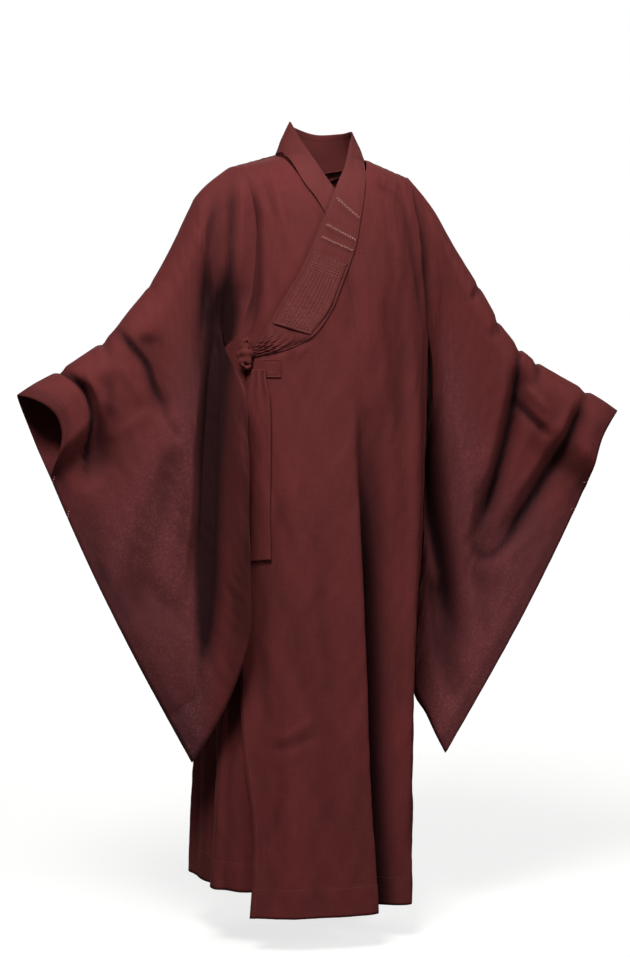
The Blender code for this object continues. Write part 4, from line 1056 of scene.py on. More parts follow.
@functools.cache
def patch_grid():
    """The quilted stretch of the outer band: close channels of stitching along it, crossed by
    short stitched blocks near both ends."""
    share = np.linspace(*COLLAR_PATCH_SHARES, PATCH_COLUMNS)
    points = band_points(OUTER_BAND[2:6], patch_lift, PATCH_STATIONS, share)
    across = np.linspace(0, 1, PATCH_COLUMNS)[None, :]
    along = np.linspace(0, 1, PATCH_STATIONS)[:, None]
    near, far = PATCH_EDGE, 2 * PATCH_EDGE
    inside = ease(across, near, far) * (1 - ease(across, 1 - far, 1 - near))
    channel = np.abs(np.sin(math.pi * PATCH_CHANNELS * across)) ** 0.6 - 0.6
    relief = CHANNEL_HEIGHT * channel * inside * ease(along, 0.02, 0.06) * (1 - ease(along, 0.95, 0.98))
    puckers = np.sin(150 * along + 9 * across) * np.sin(61 * along + 17 * across)
    relief = relief + PATCH_PUCKER * puckers * inside
    relief = relief + PATCH_BULGE * np.sin(9 * along + 4 * across) * (1 - ease(along, 0.2, 0.6))
    relief = relief + PATCH_END_ROLL * groove(along, 0.985, 0.02)
    return displaced(points, relief)


def armhole_ring(side):
    """The sleeve's first ring, on the body's own armhole edges, from the underarm up the front,
    over the shoulder and down the back."""
    heights = armhole_heights(SLEEVE_HALF_RING)
    front_hole = "left_front" if side > 0 else "right_front"
    front = body_points(side * armhole_angle(front_hole, heights), heights, ARMHOLE_LIFT)
    back = body_points(side * (math.pi - armhole_angle("back", heights)), heights, ARMHOLE_LIFT)
    return np.concatenate([front, back[-2:0:-1]])


@functools.cache
def sleeve(side):
    """A bag sleeve: rings from the armhole to the mouth, closed round the arm, with the creases
    of its front layer and of its back layer, its nicked top and its hemmed mouth."""
    rows, creases, lines, nicks, cuff_pull = SLEEVES[side]
    first_ring = armhole_ring(side)
    in_half = len(first_ring) // 2
    front = np.concatenate([np.ones(in_half + 1), np.zeros(in_half - 1)])
    outward = np.where(front > 0, -1, 1)
    rings, sheers, darks = [], [], []
    for along in np.linspace(0, 1, SLEEVE_RINGS) ** RINGS_CROWD:
        at = {
            name: smooth_line(along, column(rows, "along"), column(rows, name))
            for name in Sleeve._fields[1:]
        }
        top = np.array([at["top_x"], at["top_y"], at["top_z"]])
        low = np.array([at["low_x"], at["low_y"], at["low_z"]])
        length = np.linalg.norm(low - top)
        half = np.linspace(0, 1, in_half) ** POINTS_CROWD * (1 - BOTTOM_FOLD / length)
        half = np.append(half, 1)
        down = np.concatenate([half[::-1], half[1:-1]])
        middle = top + (low - top) * down[:, None]
        middle[:, 1] = top[1] + (low[1] - top[1]) * down**MIDDLE_BEND
        middle[:, 0] += side * MOUTH_BOW * np.sin(math.pi * down) * ease(along, 0.5, 1)
        nicked = sum(n.depth * math.exp(-(((along - n.along) / n.width) ** 2)) for n in nicks)
        middle[:, 2] -= nicked * (1 - ease(down, 0, NICK_REACH))
        below = length * down / at["arm"]
        round_arm = np.sqrt(1 - (1 - np.minimum(below, 1)) ** 2)
        hung = at["arm"] + (at["gap"] - at["arm"]) * down
        shut = at["gap"] + at["arm"] * (1 - ease(down, HAND_OPENING * 0.6, HAND_OPENING * 1.1))
        thick = hung + (shut - hung) * ease(along, 0.66, 1.0)
        thick = thick * round_arm * (down < 1)
        fade = ease(along, 0.0, 0.10)
        x, z = middle[:, 0], middle[:, 2]
        near_mouth = 1 - ease(along, 0.86, 1.0) * 0.7
        waves = wave_field(along * 0.5 + outward, down * length, SLEEVE_WAVE) * SLEEVE_WAVE.height
        small = wave_field(along * 0.5 - outward, down * length, SLEEVE_SMALL_WAVE)
        soft = (waves * ease(down, 0.05, 0.3) * near_mouth + small * SLEEVE_SMALL_WAVE.height) * fade
        folds = [crease_depth(x, z, layer) * fade for layer in creases]
        fine = [line_sink(x, z, layer) * fade for layer in lines]
        front_y, back_y = folds[0] + fine[0] - thick, thick - folds[1] - fine[1]
        # Painted shade along the creases and lines of each layer
        dark = np.where(front > 0, fold_shade(folds[0], fine[0]), fold_shade(folds[1], fine[1]))
        least = np.minimum(thick, at["gap"] * 0.5 + CLOTH_WALL)
        front_y = np.minimum(front_y, thick * 0.5)
        back_y = np.maximum(back_y, front_y + 2 * least)
        half_gap = np.maximum((back_y - front_y) / 2, least)
        points = middle.copy()
        hem = HEM_STEP * ease(along, 1 - MOUTH_HEM_DEPTH * 2.2, 1 - MOUTH_HEM_DEPTH * 1.6)
        points[:, 1] += (front_y + back_y) / 2 + outward * (half_gap + soft * (down < 1) + hem)
        points[:, 0] += side * at["skew"] * outward * half_gap * down**2
        pull = np.sin(math.pi * np.clip(down / HAND_OPENING, 0, 1) ** 0.6) * ease(along, 0.78, 1)
        points[:, 0] -= side * cuff_pull * pull * front
        blend = ease(along, 0, 0.16)
        ring = first_ring * (1 - blend) + points * blend
        near = [line_sink(ring[:, 0], ring[:, 2], layer) for layer in lines]
        near = np.where(front > 0, *near) * (1 - blend) * ease(along, 0, 0.03)
        ring[:, 1] -= outward * near
        rings.append(ring)
        # Painted shade on the right sleeve's inner side, turned from the light; the hems are darkened too
        turned_shade = SIDE_SHADE * ease(x, -0.208, -0.184) * ease(-z, 0.30, 0.45) * front * (side < 0)
        hemmed = HEM_DARK * ease(along, 0.955, 0.975)
        darks.append(np.clip(dark + hemmed + fold_shade(0, near) + turned_shade, 0, 1))
        # The lower bag's thin cloth, less so in the folds, takes the sheer colour, lighter in part as
        # painted light shining through it; the tip's inset cloth takes the same colour and specks
        tip = ease(TIP_Z + TIP_SLOPE * (x - TIP_X) - z, -0.001, 0.001) * (1 - ease(x, -0.241, -0.236))
        strip = ease(x, -0.240, -0.205) * (side < 0)
        thin = ease(down, 0.22, 0.50) * ease(along, 0.16, 0.34) * (1 - 0.5 * dark) * (1 - strip)
        sheers.append(thin + 1.8 * tip * (side < 0))
    made = [np.array(values) for values in (rings, sheers, darks)]
    return made if side < 0 else [values[:, ::-1] for values in made]


def tie(x, top_z, end_z, lift, sway):
    """A tie's hanging end: pleated where it leaves the knot, with stitching along both edges."""
    down = np.linspace(0, 1, TIE_ROWS)[:, None]
    over = np.linspace(1, -1, TIE_COLUMNS)[None, :]
    pinch = 1 - 0.34 * (1 - ease(down, 0.0, 0.16))
    across = x + over * TIE_WIDTH / 2 * pinch + sway * np.sin(5.2 * down + 0.6) * ease(down, 0.05, 0.4)
    along = top_z + (end_z - top_z) * down + 0.002 * over * ease(down, 0.8, 1.0)
    pleats = TIE_PLEAT * np.cos(2.5 * math.pi * over) * (1 - ease(down, 0.02, 0.24))
    curl = TIE_CURL * over * np.sin(4.0 * down + 1.0) + 0.0008 * over**2 * np.sin(7 * down)
    raised = outer_panel_lift(across, along) + lift + pleats + curl + TIE_STAND_OFF
    points = place_on_front(across, along, raised)
    edges = groove(np.abs(over), 0.80, 0.07) + 0.5 * groove(np.abs(over), 0.93, 0.05)
    return displaced(points, -TIE_EDGE_SINK * edges + 0 * down)


def tie_patch():
    """The square of cloth that the ties are sewn to."""
    halves = np.linspace(-0.5, 0.5, TIE_PATCH_CELLS)
    across, along = np.meshgrid(halves, -halves)
    x, z = TIE_PATCH_X + across * TIE_PATCH_SIZE, TIE_PATCH_Z + along * TIE_PATCH_SIZE
    points = place_on_front(x, z, outer_panel_lift(x, z) + ON_PANEL)[:, ::-1]
    inset = np.maximum(np.abs(across), np.abs(along))
    return displaced(points, -0.0006 * groove(inset, 0.40, 0.035) + 0.0004 * groove(inset, 0.47, 0.03))


def sampled(values, rows, columns):
    """Reads a grid between its points."""
    rows = np.clip(rows, 0, values.shape[0] - 1.001)
    columns = np.clip(columns, 0, values.shape[1] - 1.001)
    row, col = rows.astype(int), columns.astype(int)
    r, c = (rows - row)[:, None], (columns - col)[:, None]
    low = values[row, col] * (1 - c) + values[row, col + 1] * c
    high = values[row + 1, col] * (1 - c) + values[row + 1, col + 1] * c
    return low * (1 - r) + high * r


def seam(grid, rows, columns):
    """A line of sewing on a grid of cloth, just above it."""
    rows, columns = np.broadcast_arrays(np.asarray(rows, float), np.asarray(columns, float))
    return sampled(grid, rows, columns) + sampled(grid_normals(grid), rows, columns) * STITCH_LIFT


def along_rows(grid, share, start=0.0, end=1.0):
    """A line of sewing down a grid's rows, at a share of its width."""
    last = len(grid) - 1
    rows = np.linspace(start * last, end * last, max(3, int(last * (end - start) / 2)))
    return seam(grid, rows, share * (grid.shape[1] - 1))


def along_columns(grid, share, start=0.0, end=1.0):
    """A line of sewing across a grid's columns, at a share of its length."""
    last = grid.shape[1] - 1
    columns = np.linspace(start * last, end * last, max(3, int(last * (end - start) / 2)))
    return seam(grid, share * (len(grid) - 1), columns)


def above_hem(grid, height):
    """A line across a grid at one height above its lowest row."""
    columns = np.arange(0, grid.shape[1] - 1, 2)
    rows = [np.interp(grid[0, c, 2] + height, grid[:, c, 2], np.arange(len(grid))) for c in columns]
    return seam(grid, np.array(rows), columns)


def band_seams():
    """The rows of stitching along the collar band."""
    return [along_rows(collar_grid(), share) for share in BAND_EDGE_LINES + (BAND_SEAM_LINE,)]


def band_bars():
    """Close rows of pale stitches on the three raised bars across the wearer's left front."""
    collar = collar_grid()
    lines = []
    for bar in BAND_BARS:
        row = bar / len(OUTER_BAND) * (OUTER_STATIONS - 1) / (len(collar) - 1)
        for shift in (0.0, 0.0016):
            lines.append(along_columns(collar, row + shift, 0.14 + 20 * shift, 0.93))
    return lines


def quilting():
    """The close rows of stitching on the band's quilted stretch."""
    patch = patch_grid()
    lines = []
    for channel in range(1, PATCH_CHANNELS):
        lines.append(along_rows(patch, channel / PATCH_CHANNELS, 0.03, 0.96))
    for channel in range(1, PATCH_CHANNELS - 1):
        for start, end in ((0.10, 0.26), (0.80, 0.95)):
            lines.append(along_rows(patch, (channel + 0.5) / PATCH_CHANNELS, start, end))
    lines.append(along_columns(patch, 0.975, 0.03, 0.97))
    lines.append(along_columns(patch, 0.02, 0.03, 0.97))
    return lines


def cloth_seams():
    """The rows of stitching on the hems, the free edge and the sleeves' mouths."""
    lines = []
    for side in (1, -1):
        body = body_half(side)
        half = len(body) // 2
        lines.append(above_hem(body[:half], HEM_DEPTH))
        lines.append(above_hem(body[:half:-1], HEM_DEPTH))
        bag = sleeve(side)[0]
        row = (1 - MOUTH_HEM_DEPTH * 2) ** (1 / RINGS_CROWD)
        lines.append(along_columns(bag, row))
    outer = overlap(True)
    lines.append(above_hem(outer, HEM_DEPTH))
    lines.append(along_rows(outer, FREE_EDGE_STITCH, 0.0, 0.93))
    lines.append(above_hem(overlap(False), HEM_DEPTH))
    return lines


def tacks():
    """Short pale thread ends where the mouths are sewn shut below the hand openings."""
    lines = []
    for side, places in MOUTH_TACKS.items():
        bag = sleeve(side)[0]
        count = bag.shape[1]
        for down in places:
            place = count // 2 - (count // 2 - 1) * down ** (1 / POINTS_CROWD)
            place = count - 1 - place if side > 0 else place
            lines.append(seam(bag, len(bag) - TACK_ROWS, place + TACK_COLUMNS))
    return lines


def tie_seams(grids):
    lines = []
    for grid in grids:
        for share in (0.10, 0.90):
            lines.append(along_rows(grid, share, 0.03, 0.985))
    return lines


def linear(hex_colour):
    """An sRGB hex colour as linear red, green, blue and alpha."""
    parts = [int(hex_colour[i : i + 2], 16) / 255 for i in (1, 3, 5)]
    return tuple(c / 12.92 if c <= 0.04045 else ((c + 0.055) / 1.055) ** 2.4 for c in parts) + (1.0,)


def add_node(tree, kind, inputs=(), **settings):
    """Adds a node with its settings, and fills its inputs with values or other nodes' outputs."""
    node = tree.nodes.new(kind)
    for name, value in settings.items():
        setattr(node, name, value)
    for socket, value in dict(inputs).items():
        if isinstance(value, bpy.types.NodeSocket):
            tree.links.new(value, node.inputs[socket])
        else:
            node.inputs[socket].default_value = value
    return node


def new_material(name):
    made = bpy.data.materials.new(name)
    made.use_nodes = True
    made.node_tree.nodes.clear()
    return made, functools.partial(add_node, made.node_tree)


def finish_material(made, shader):
    output = add_node(made.node_tree, "ShaderNodeOutputMaterial")
    made.node_tree.links.new(shader.outputs["BSDF"], output.inputs["Surface"])
    return made


def woven(name, colour, weave):
    """Plain weave of thin spun yarn, piece dyed: matt, with a faint sheen off its fibre ends. The
    yarn is uneven, so short thick stretches show as streaks along and across the cloth. The
    threads lie 0.3 mm apart in the real cloth, too fine to show, and are drawn coarser."""
    made, add = new_material(name)
    uv = add("ShaderNodeUVMap", uv_map="weave").outputs["UV"]
    place = add("ShaderNodeTexCoord").outputs["Object"]

    def yarn(width, length):
        """Streaks of uneven yarn, of this width and length in metres."""
        scale = (1 / width, 1 / length, 1.0)
        stretched = add("ShaderNodeMapping", {"Vector": uv, "Scale": scale}).outputs["Vector"]
        noise = add("ShaderNodeTexNoise", {"Vector": stretched, "Scale": 1.0, "Detail": 2.0})
        return noise.outputs["Fac"]

    warp = yarn(weave.slub_width, weave.slub_length)
    weft = yarn(weave.slub_length * 0.7, weave.slub_width)
    fine = yarn(weave.slub_width * 0.5, weave.slub_width * 0.5)
    yarns = add("ShaderNodeMath", {0: warp, 1: weft}, operation="ADD").outputs[0]
    yarns = add("ShaderNodeMath", {0: yarns, 1: fine}, operation="ADD").outputs[0]
    yarns = add("ShaderNodeMapRange", {0: yarns, 1: 1.1, 2: 1.9, 3: 0.0, 4: 1.0}).outputs[0]
    dye = add("ShaderNodeTexNoise", {"Vector": place, "Scale": 6.0, "Detail": 3.0}).outputs["Fac"]
    dye = add("ShaderNodeMapRange", {0: dye, 1: 0.3, 2: 0.7, 3: 0.0, 4: 1.0}).outputs[0]
    # Painted shade from hollows, creases and folds, with the darker hems, and the sheer mask of the thin
    # sleeves
    hollow = add("ShaderNodeAttribute", attribute_name="hollow").outputs["Fac"]
    sheer = add("ShaderNodeAttribute", attribute_name="sheer").outputs["Fac"]

    thin = {0: fine, 6: linear(weave.sheer_glow_dark), 7: linear(weave.sheer_glow_light)}
    thin = add("ShaderNodeMix", thin, data_type="RGBA").outputs[2]
    speck = {"Vector": place, "Scale": 1 / weave.speck_size, "Detail": 1.0}
    speck = add("ShaderNodeTexNoise", speck).outputs["Fac"]
    speck = add("ShaderNodeMapRange", {0: speck, 1: 0.50, 2: 0.66, 3: 0.0, 4: 0.55}).outputs[0]
    speck = add("ShaderNodeMath", {0: speck, 1: sheer}, operation="MULTIPLY").outputs[0]

    tint = {0: dye, 6: linear(weave.dark_colour), 7: colour}
    tint = add("ShaderNodeMix", tint, data_type="RGBA").outputs[2]
    # Over the dye: the yarn's streaks; the sheer cloth's mottled colour, lighter in part as painted light
    # shining through; its specks; and the painted shade with the darker hems
    for cover, strength, over in (
        (yarns, weave.slub_strength, linear(weave.yarn_colour)),
        (sheer, weave.sheer_share, thin),
        (speck, dye, linear(weave.yarn_colour)),
        (hollow, weave.shade_and_hem_share, linear(weave.shade_and_hem_colour)),
    ):
        cover = add("ShaderNodeMath", {0: cover, 1: strength}, operation="MULTIPLY").outputs[0]
        tint = add("ShaderNodeMix", {0: cover, 6: tint, 7: over}, data_type="RGBA").outputs[2]

    axes = add("ShaderNodeSeparateXYZ", {0: uv})
    turns = 2 * math.pi / weave.thread_spacing
    threads = []
    for axis in (0, 1):
        turn = add("ShaderNodeMath", {0: axes.outputs[axis], 1: turns}, operation="MULTIPLY").outputs[0]
        threads.append(add("ShaderNodeMath", {0: turn}, operation="SINE").outputs[0])
    crossing = add("ShaderNodeMath", {0: threads[0], 1: threads[1]}, operation="MULTIPLY").outputs[0]
    height = {0: crossing, 1: THREAD_RELIEF, 2: yarns}
    height = add("ShaderNodeMath", height, operation="MULTIPLY_ADD").outputs[0]
    bump = add("ShaderNodeBump", {"Strength": 0.35, "Distance": 0.0005, "Height": height}).outputs[0]
    shader = add(
        "ShaderNodeBsdfPrincipled",
        {
            "Base Color": tint,
            "Roughness": 0.82,
            "Specular IOR Level": 0.12,
            "Sheen Weight": 0.06,
            "Sheen Roughness": 0.42,
            "Sheen Tint": linear("#DC8E86"),
            "Normal": bump,
        },
    )
    return finish_material(made, shader)


def sewing_thread(name, colour):
    """Twisted polyester sewing thread: smoother than the cloth, so it catches a little light."""
    made, add = new_material(name)
    place = add("ShaderNodeTexCoord").outputs["Object"]
    noise = add("ShaderNodeTexNoise", {"Vector": place, "Scale": 220.0, "Detail": 1.0}).outputs["Fac"]
    dark = tuple(c * 0.7 for c in colour[:3]) + (1.0,)
    tint = add("ShaderNodeMix", {0: noise, 6: dark, 7: colour}, data_type="RGBA").outputs[2]
    shader = add(
        "ShaderNodeBsdfPrincipled",
        {"Base Color": tint, "Roughness": 0.55, "Specular IOR Level": 0.4, "Sheen Weight": 0.1},
    )
    return finish_material(made, shader)


def pale_floor(name, colour):
    """Matt painted studio floor, faintly uneven from its roller and lit evenly all over."""
    made, add = new_material(name)
    place = add("ShaderNodeTexCoord").outputs["Object"]
    noise = add("ShaderNodeTexNoise", {"Vector": place, "Scale": 3.0, "Detail": 2.0}).outputs["Fac"]
    dark = tuple(c * 0.985 for c in colour[:3]) + (1.0,)
    tint = add("ShaderNodeMix", {0: noise, 6: dark, 7: colour}, data_type="RGBA").outputs[2]
    away = add("ShaderNodeVectorMath", {0: place}, operation="LENGTH").outputs["Value"]
    near, far = FLOOR_GLOW_REACH
    glow = add("ShaderNodeMapRange", {0: away, 1: near, 2: far, 3: FLOOR_GLOW, 4: 1.0}).outputs[0]
    glow = {"Emission Color": (1.0, 1.0, 1.0, 1.0), "Emission Strength": glow}
    shader = add("ShaderNodeBsdfPrincipled", {"Base Color": tint, "Roughness": 0.9, **glow})
    return finish_material(made, shader)


def stitch_tree():
    """Geometry nodes that lay a short rounded stitch at even steps along every edge line."""
    tree = bpy.data.node_groups.new("stitch rows", "GeometryNodeTree")
    sockets = {"Lines": "Geometry", "Spacing": "Float", "Length": "Float", "Width": "Float"}
    sockets |= {"Unevenness": "Float", "Seed": "Int", "Thread": "Material"}
    for name, kind in sockets.items():
        tree.interface.new_socket(name, in_out="INPUT", socket_type=f"NodeSocket{kind}")
    tree.interface.new_socket("Stitches", in_out="OUTPUT", socket_type="NodeSocketGeometry")
    add = functools.partial(add_node, tree)
    given = add("NodeGroupInput").outputs
    curve = add("GeometryNodeMeshToCurve", {"Mesh": given["Lines"]}).outputs["Curve"]
    steps = {"Curve": curve, "Length": given["Spacing"]}
    steps = add("GeometryNodeResampleCurve", steps, mode="LENGTH").outputs["Curve"]
    ball = add("GeometryNodeMeshIcoSphere", {"Radius": 0.5, "Subdivisions": 1}).outputs["Mesh"]
    tangent = add("GeometryNodeInputTangent").outputs["Tangent"]
    turn = add("FunctionNodeAlignRotationToVector", {"Vector": tangent}, axis="X").outputs[0]
    size = {"X": given["Length"], "Y": given["Width"], "Z": given["Width"]}
    size = add("ShaderNodeCombineXYZ", size).outputs[0]
    least = add("ShaderNodeMath", {0: 1.0, 1: given["Unevenness"]}, operation="SUBTRACT").outputs[0]
    chance = add("FunctionNodeRandomValue", {2: least, 3: 1.0, "Seed": given["Seed"]}).outputs[1]
    size = add("ShaderNodeVectorMath", {0: size, "Scale": chance}, operation="SCALE").outputs[0]
    laid = {"Points": steps, "Instance": ball, "Rotation": turn, "Scale": size}
    laid = add("GeometryNodeInstanceOnPoints", laid).outputs["Instances"]
    real = add("GeometryNodeRealizeInstances", {"Geometry": laid}).outputs["Geometry"]
    sewn = {"Geometry": real, "Material": given["Thread"]}
    sewn = add("GeometryNodeSetMaterial", sewn).outputs["Geometry"]
    add("NodeGroupOutput", {"Stitches": sewn})
    return tree


def robe_collection():
    made = bpy.data.collections.get("monk_robe")
    if made is None:
        made = bpy.data.collections.new("monk_robe")
        bpy.context.scene.collection.children.link(made)
    return made


def hollow_shade(points, closed):
    """Painted shade in hollows: how far each point of a grid lies below the cloth around it, from 0 to 1."""
    dark = np.zeros(points.shape[:2])
    for cells, full in zip(HOLLOW_CELLS, HOLLOW_FULL):
        for axis, wrap in ((0, False), (1, closed)):
            edge = [(0, 0)] * 3
            edge[axis] = (cells, cells)
            if wrap:
                padded = np.pad(points, edge, mode="wrap")
            else:
                padded = np.pad(points, edge, mode="reflect", reflect_type="odd")
            count = points.shape[axis]
            sides = [np.take(padded, np.arange(i, i + count), axis=axis) for i in (0, 2 * cells)]
            below = ((sum(sides) / 2 - points) * grid_normals(points, closed)).sum(-1)
            dark = np.maximum(dark, np.clip(below / full, 0, 1))
    return dark


def cloth_mesh(name, points, closed, sheer, dark):
    """A mesh from a grid of points, with UVs in metres along the cloth."""
    rows, columns = points.shape[:2]
    across = np.arange(columns if closed else columns - 1)
    corner = np.stack([across, (across + 1) % columns, (across + 1) % columns, across], -1)
    step = np.array([0, 0, 1, 1]) * columns
    faces = (np.arange(rows - 1)[:, None, None] * columns + corner + step).reshape(-1, 4)
    mesh = bpy.data.meshes.new(name)
    mesh.from_pydata(points.reshape(-1, 3).tolist(), [], faces.tolist())
    wrapped = np.concatenate([points, points[:, :1]], 1) if closed else points
    u = np.linalg.norm(np.diff(wrapped, axis=1), axis=-1).cumsum(1)
    u = np.concatenate([np.zeros((rows, 1)), u], 1)
    u = u - u[:, [u.shape[1] // 2]]
    v = np.linalg.norm(np.diff(wrapped, axis=0), axis=-1).cumsum(0)
    v = np.concatenate([np.zeros((1, wrapped.shape[1])), v])
    row = np.arange(rows - 1)[:, None, None] + np.array([0, 0, 1, 1])
    col = across[:, None] + np.array([0, 1, 1, 0])
    row, col = np.broadcast_arrays(row, col[None])
    uv = np.stack([u[row, col], v[row, col]], -1)
    mesh.uv_layers.new(name="weave").data.foreach_set("uv", uv.ravel())
    # Painted shade of the hollows and folds, with the darker hems, and the sheer mask go on the points
    hollow = np.clip(hollow_shade(points, closed) + dark, 0, 1)
    values = {"hollow": hollow, "sheer": np.zeros((rows, columns)) + sheer}
    for attribute, value in values.items():
        mesh.attributes.new(attribute, "FLOAT", "POINT").data.foreach_set("value", value.ravel())
    mesh.shade_smooth()
    return mesh


def add_cloth(name, points, finish, wall=CLOTH_WALL, closed=False, sheer=0.0, dark=0.0):
    """A piece of cloth: a grid of points on its outer face, thickened inwards."""
    mesh = cloth_mesh(name, points, closed, sheer, dark)
    mesh.materials.append(finish)
    piece = bpy.data.objects.new(name, mesh)
    thickened = piece.modifiers.new("wall", "SOLIDIFY")
    thickened.thickness = wall
    thickened.offset = -1
    robe_collection().objects.link(piece)
    return piece


def belongs(piece, slot, *nodes):
    """The piece rides with the robe, and takes the place of these solids."""
    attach(piece, "root")
    if nodes:
        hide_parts(*nodes)
    return piece


def material_named(name, make):
    return bpy.data.materials.get(name) or make(name)


def plain_weave(context):
    cloth = context.scene.robe_cloth
    return material_named("maroon plain weave", lambda name: woven(name, linear(cloth.colour), cloth))


def band_weave(context):
    cloth = context.scene.robe_cloth
    return material_named("quilted plain weave", lambda name: woven(name, linear(cloth.band_colour), cloth))


def add_stitches(context, name, lines, thread_name, colour, width=1.0):
    """Sews rows of stitches along lines of points, with one kind of thread."""
    sewing = context.scene.robe_sewing
    corners, edges = [], []
    for line in lines:
        start = len(corners)
        corners.extend(map(tuple, line))
        edges.extend((start + i, start + i + 1) for i in range(len(line) - 1))
    mesh = bpy.data.meshes.new(name + "_lines")
    mesh.from_pydata(corners, edges, [])
    guide = bpy.data.objects.new(name + "_lines", mesh)
    robe_collection().objects.link(guide)
    thread = material_named(thread_name, lambda wanted: sewing_thread(wanted, linear(colour)))
    tree = bpy.data.node_groups.get("stitch rows") or stitch_tree()
    sewn = guide.modifiers.new("stitches", "NODES")
    sewn.node_group = tree
    values = {"Spacing": sewing.spacing, "Length": sewing.length, "Width": sewing.width * width}
    values |= {"Unevenness": sewing.unevenness, "Seed": sewing.seed, "Thread": thread}
    for item in tree.interface.items_tree:
        if item.in_out == "INPUT" and item.name in values:
            sewn[item.identifier] = values[item.name]
    context.view_layer.update()
    evaluated = guide.evaluated_get(context.evaluated_depsgraph_get())
    made = bpy.data.objects.new(name, bpy.data.meshes.new_from_object(evaluated))
    made.data.name = name
    made.data.shade_smooth()
    robe_collection().objects.link(made)
    bpy.data.objects.remove(guide)
    return made


def tie_grids():
    """The two hanging ends of the ties, back and front."""
    back_lift = LAP_CLEARANCE + TIE_WALL
    front_lift = ON_PANEL + back_lift + LAP_CLEARANCE
    return {
        "back": tie(TIE_BACK_X, TIE_TOP_Z, TIE_BACK_END_Z, back_lift, 0.0010),
        "front": tie(TIE_FRONT_X, TIE_TOP_Z, TIE_FRONT_END_Z, front_lift, 0.0016),
    }


def add_knot(finish):
    """The knot: a tight wrapped lump with two flattened loops of the tie round it."""
    bpy.ops.mesh.primitive_uv_sphere_add(segments=72, ring_count=48, radius=1)
    lump = bpy.context.object
    middle = place_on_front(KNOT_CENTRE_X, KNOT_CENTRE_Z, KNOT_STAND_OFF)
    for vertex in lump.data.vertices:
        x, y, z = vertex.co
        around = math.atan2(y, x)
        wraps = 0.10 * math.sin(3 * around + 2.5 * z) + 0.09 * math.cos(9 * z + 1.4 * math.sin(around))
        pleats = 0.035 * math.sin(14 * around + 6 * z)
        swell = 1 + wraps + pleats * (1 - z * z)
        for axis in range(3):
            vertex.co[axis] = vertex.co[axis] * swell * KNOT_HALF_SIZES[axis] + middle[axis]
    loops = [lump]
    for height, width, tall, lean in KNOT_LOOPS:
        large, small = KNOT_LOOP_RADII
        bpy.ops.mesh.primitive_torus_add(
            major_segments=56, minor_segments=20, major_radius=large, minor_radius=small
        )
        loop = bpy.context.object
        for vertex in loop.data.vertices:
            x, y, z = vertex.co
            crumple = 1 + 0.07 * math.sin(6 * math.atan2(y, x) + 3 * z)
            out = z * KNOT_LOOP_DEPTH * crumple
            vertex.co = (
                middle[0] + x * width * crumple + lean * y * tall,
                middle[1] + out - 0.003,
                middle[2] + height + y * tall * crumple,
            )
        loops.append(loop)
    bpy.ops.object.select_all(action="DESELECT")
    for loop in loops:
        loop.select_set(True)
    bpy.context.view_layer.objects.active = lump
    bpy.ops.object.join()
    lump.name = lump.data.name = "robe_tie_knot"
    lump.data.materials.clear()
    lump.data.materials.append(finish)
    lump.data.uv_layers.active.name = "weave"
    for loop_uv in lump.data.uv_layers["weave"].data:
        loop_uv.uv = (loop_uv.uv[0] * KNOT_UV_SIZE, loop_uv.uv[1] * KNOT_UV_SIZE)
    lump.data.shade_smooth()
    for owner in list(lump.users_collection):
        owner.objects.unlink(lump)
    robe_collection().objects.link(lump)
    return belongs(lump, "maroon_plain_weave", "tie_knot")


def set_world(scene, sky):
    """A white studio to the camera, and a weaker light from all round on the robe."""
    world = bpy.data.worlds.new("studio")
    world.use_nodes = True
    tree = world.node_tree
    tree.nodes.clear()
    seen = add_node(tree, "ShaderNodeBackground", {"Color": (1, 1, 1, 1), "Strength": 1.0})
    cast = add_node(tree, "ShaderNodeBackground", {"Color": linear("#FFFBF8"), "Strength": sky})
    path = add_node(tree, "ShaderNodeLightPath").outputs["Is Camera Ray"]
    both = {0: path, 1: cast.outputs[0], 2: seen.outputs[0]}
    both = add_node(tree, "ShaderNodeMixShader", both).outputs[0]
    add_node(tree, "ShaderNodeOutputWorld", {"Surface": both})
    scene.world = world


def set_camera(scene):
    """The photograph's view: a little to the wearer's right and from a little above the waist."""
    lens = bpy.data.cameras.new("camera")
    lens.lens = CAMERA_LENS
    lens.sensor_fit = "VERTICAL"
    lens.sensor_height = CAMERA_SENSOR
    camera = bpy.data.objects.new("camera", lens)
    azimuth, elevation = math.radians(CAMERA_AZIMUTH), math.radians(CAMERA_ELEVATION)
    right = Vector((math.cos(azimuth), math.sin(azimuth), 0))
    target = right * CAMERA_AIM_RIGHT + Vector((0, 0, CAMERA_AIM_Z))
    level = math.cos(elevation)
    back = Vector((math.sin(azimuth) * level, -math.cos(azimuth) * level, math.sin(elevation)))
    camera.location = target + back * CAMERA_DISTANCE
    camera.rotation_euler = (-back).to_track_quat("-Z", "Y").to_euler()
    scene.collection.objects.link(camera)
    scene.camera = camera


def hex_colour(name, description, default):
    return bpy.props.StringProperty(name=name, description=description + ", as sRGB hex", default=default)


def metres(name, description, default):
    return bpy.props.FloatProperty(name=name, description=description, default=default, unit="LENGTH")


def factor(name, description, default):
    return bpy.props.FloatProperty(name=name, description=description, default=default, subtype="FACTOR")


def watts(name, description, default):
    return bpy.props.FloatProperty(name=name, description=description, default=default, unit="POWER")


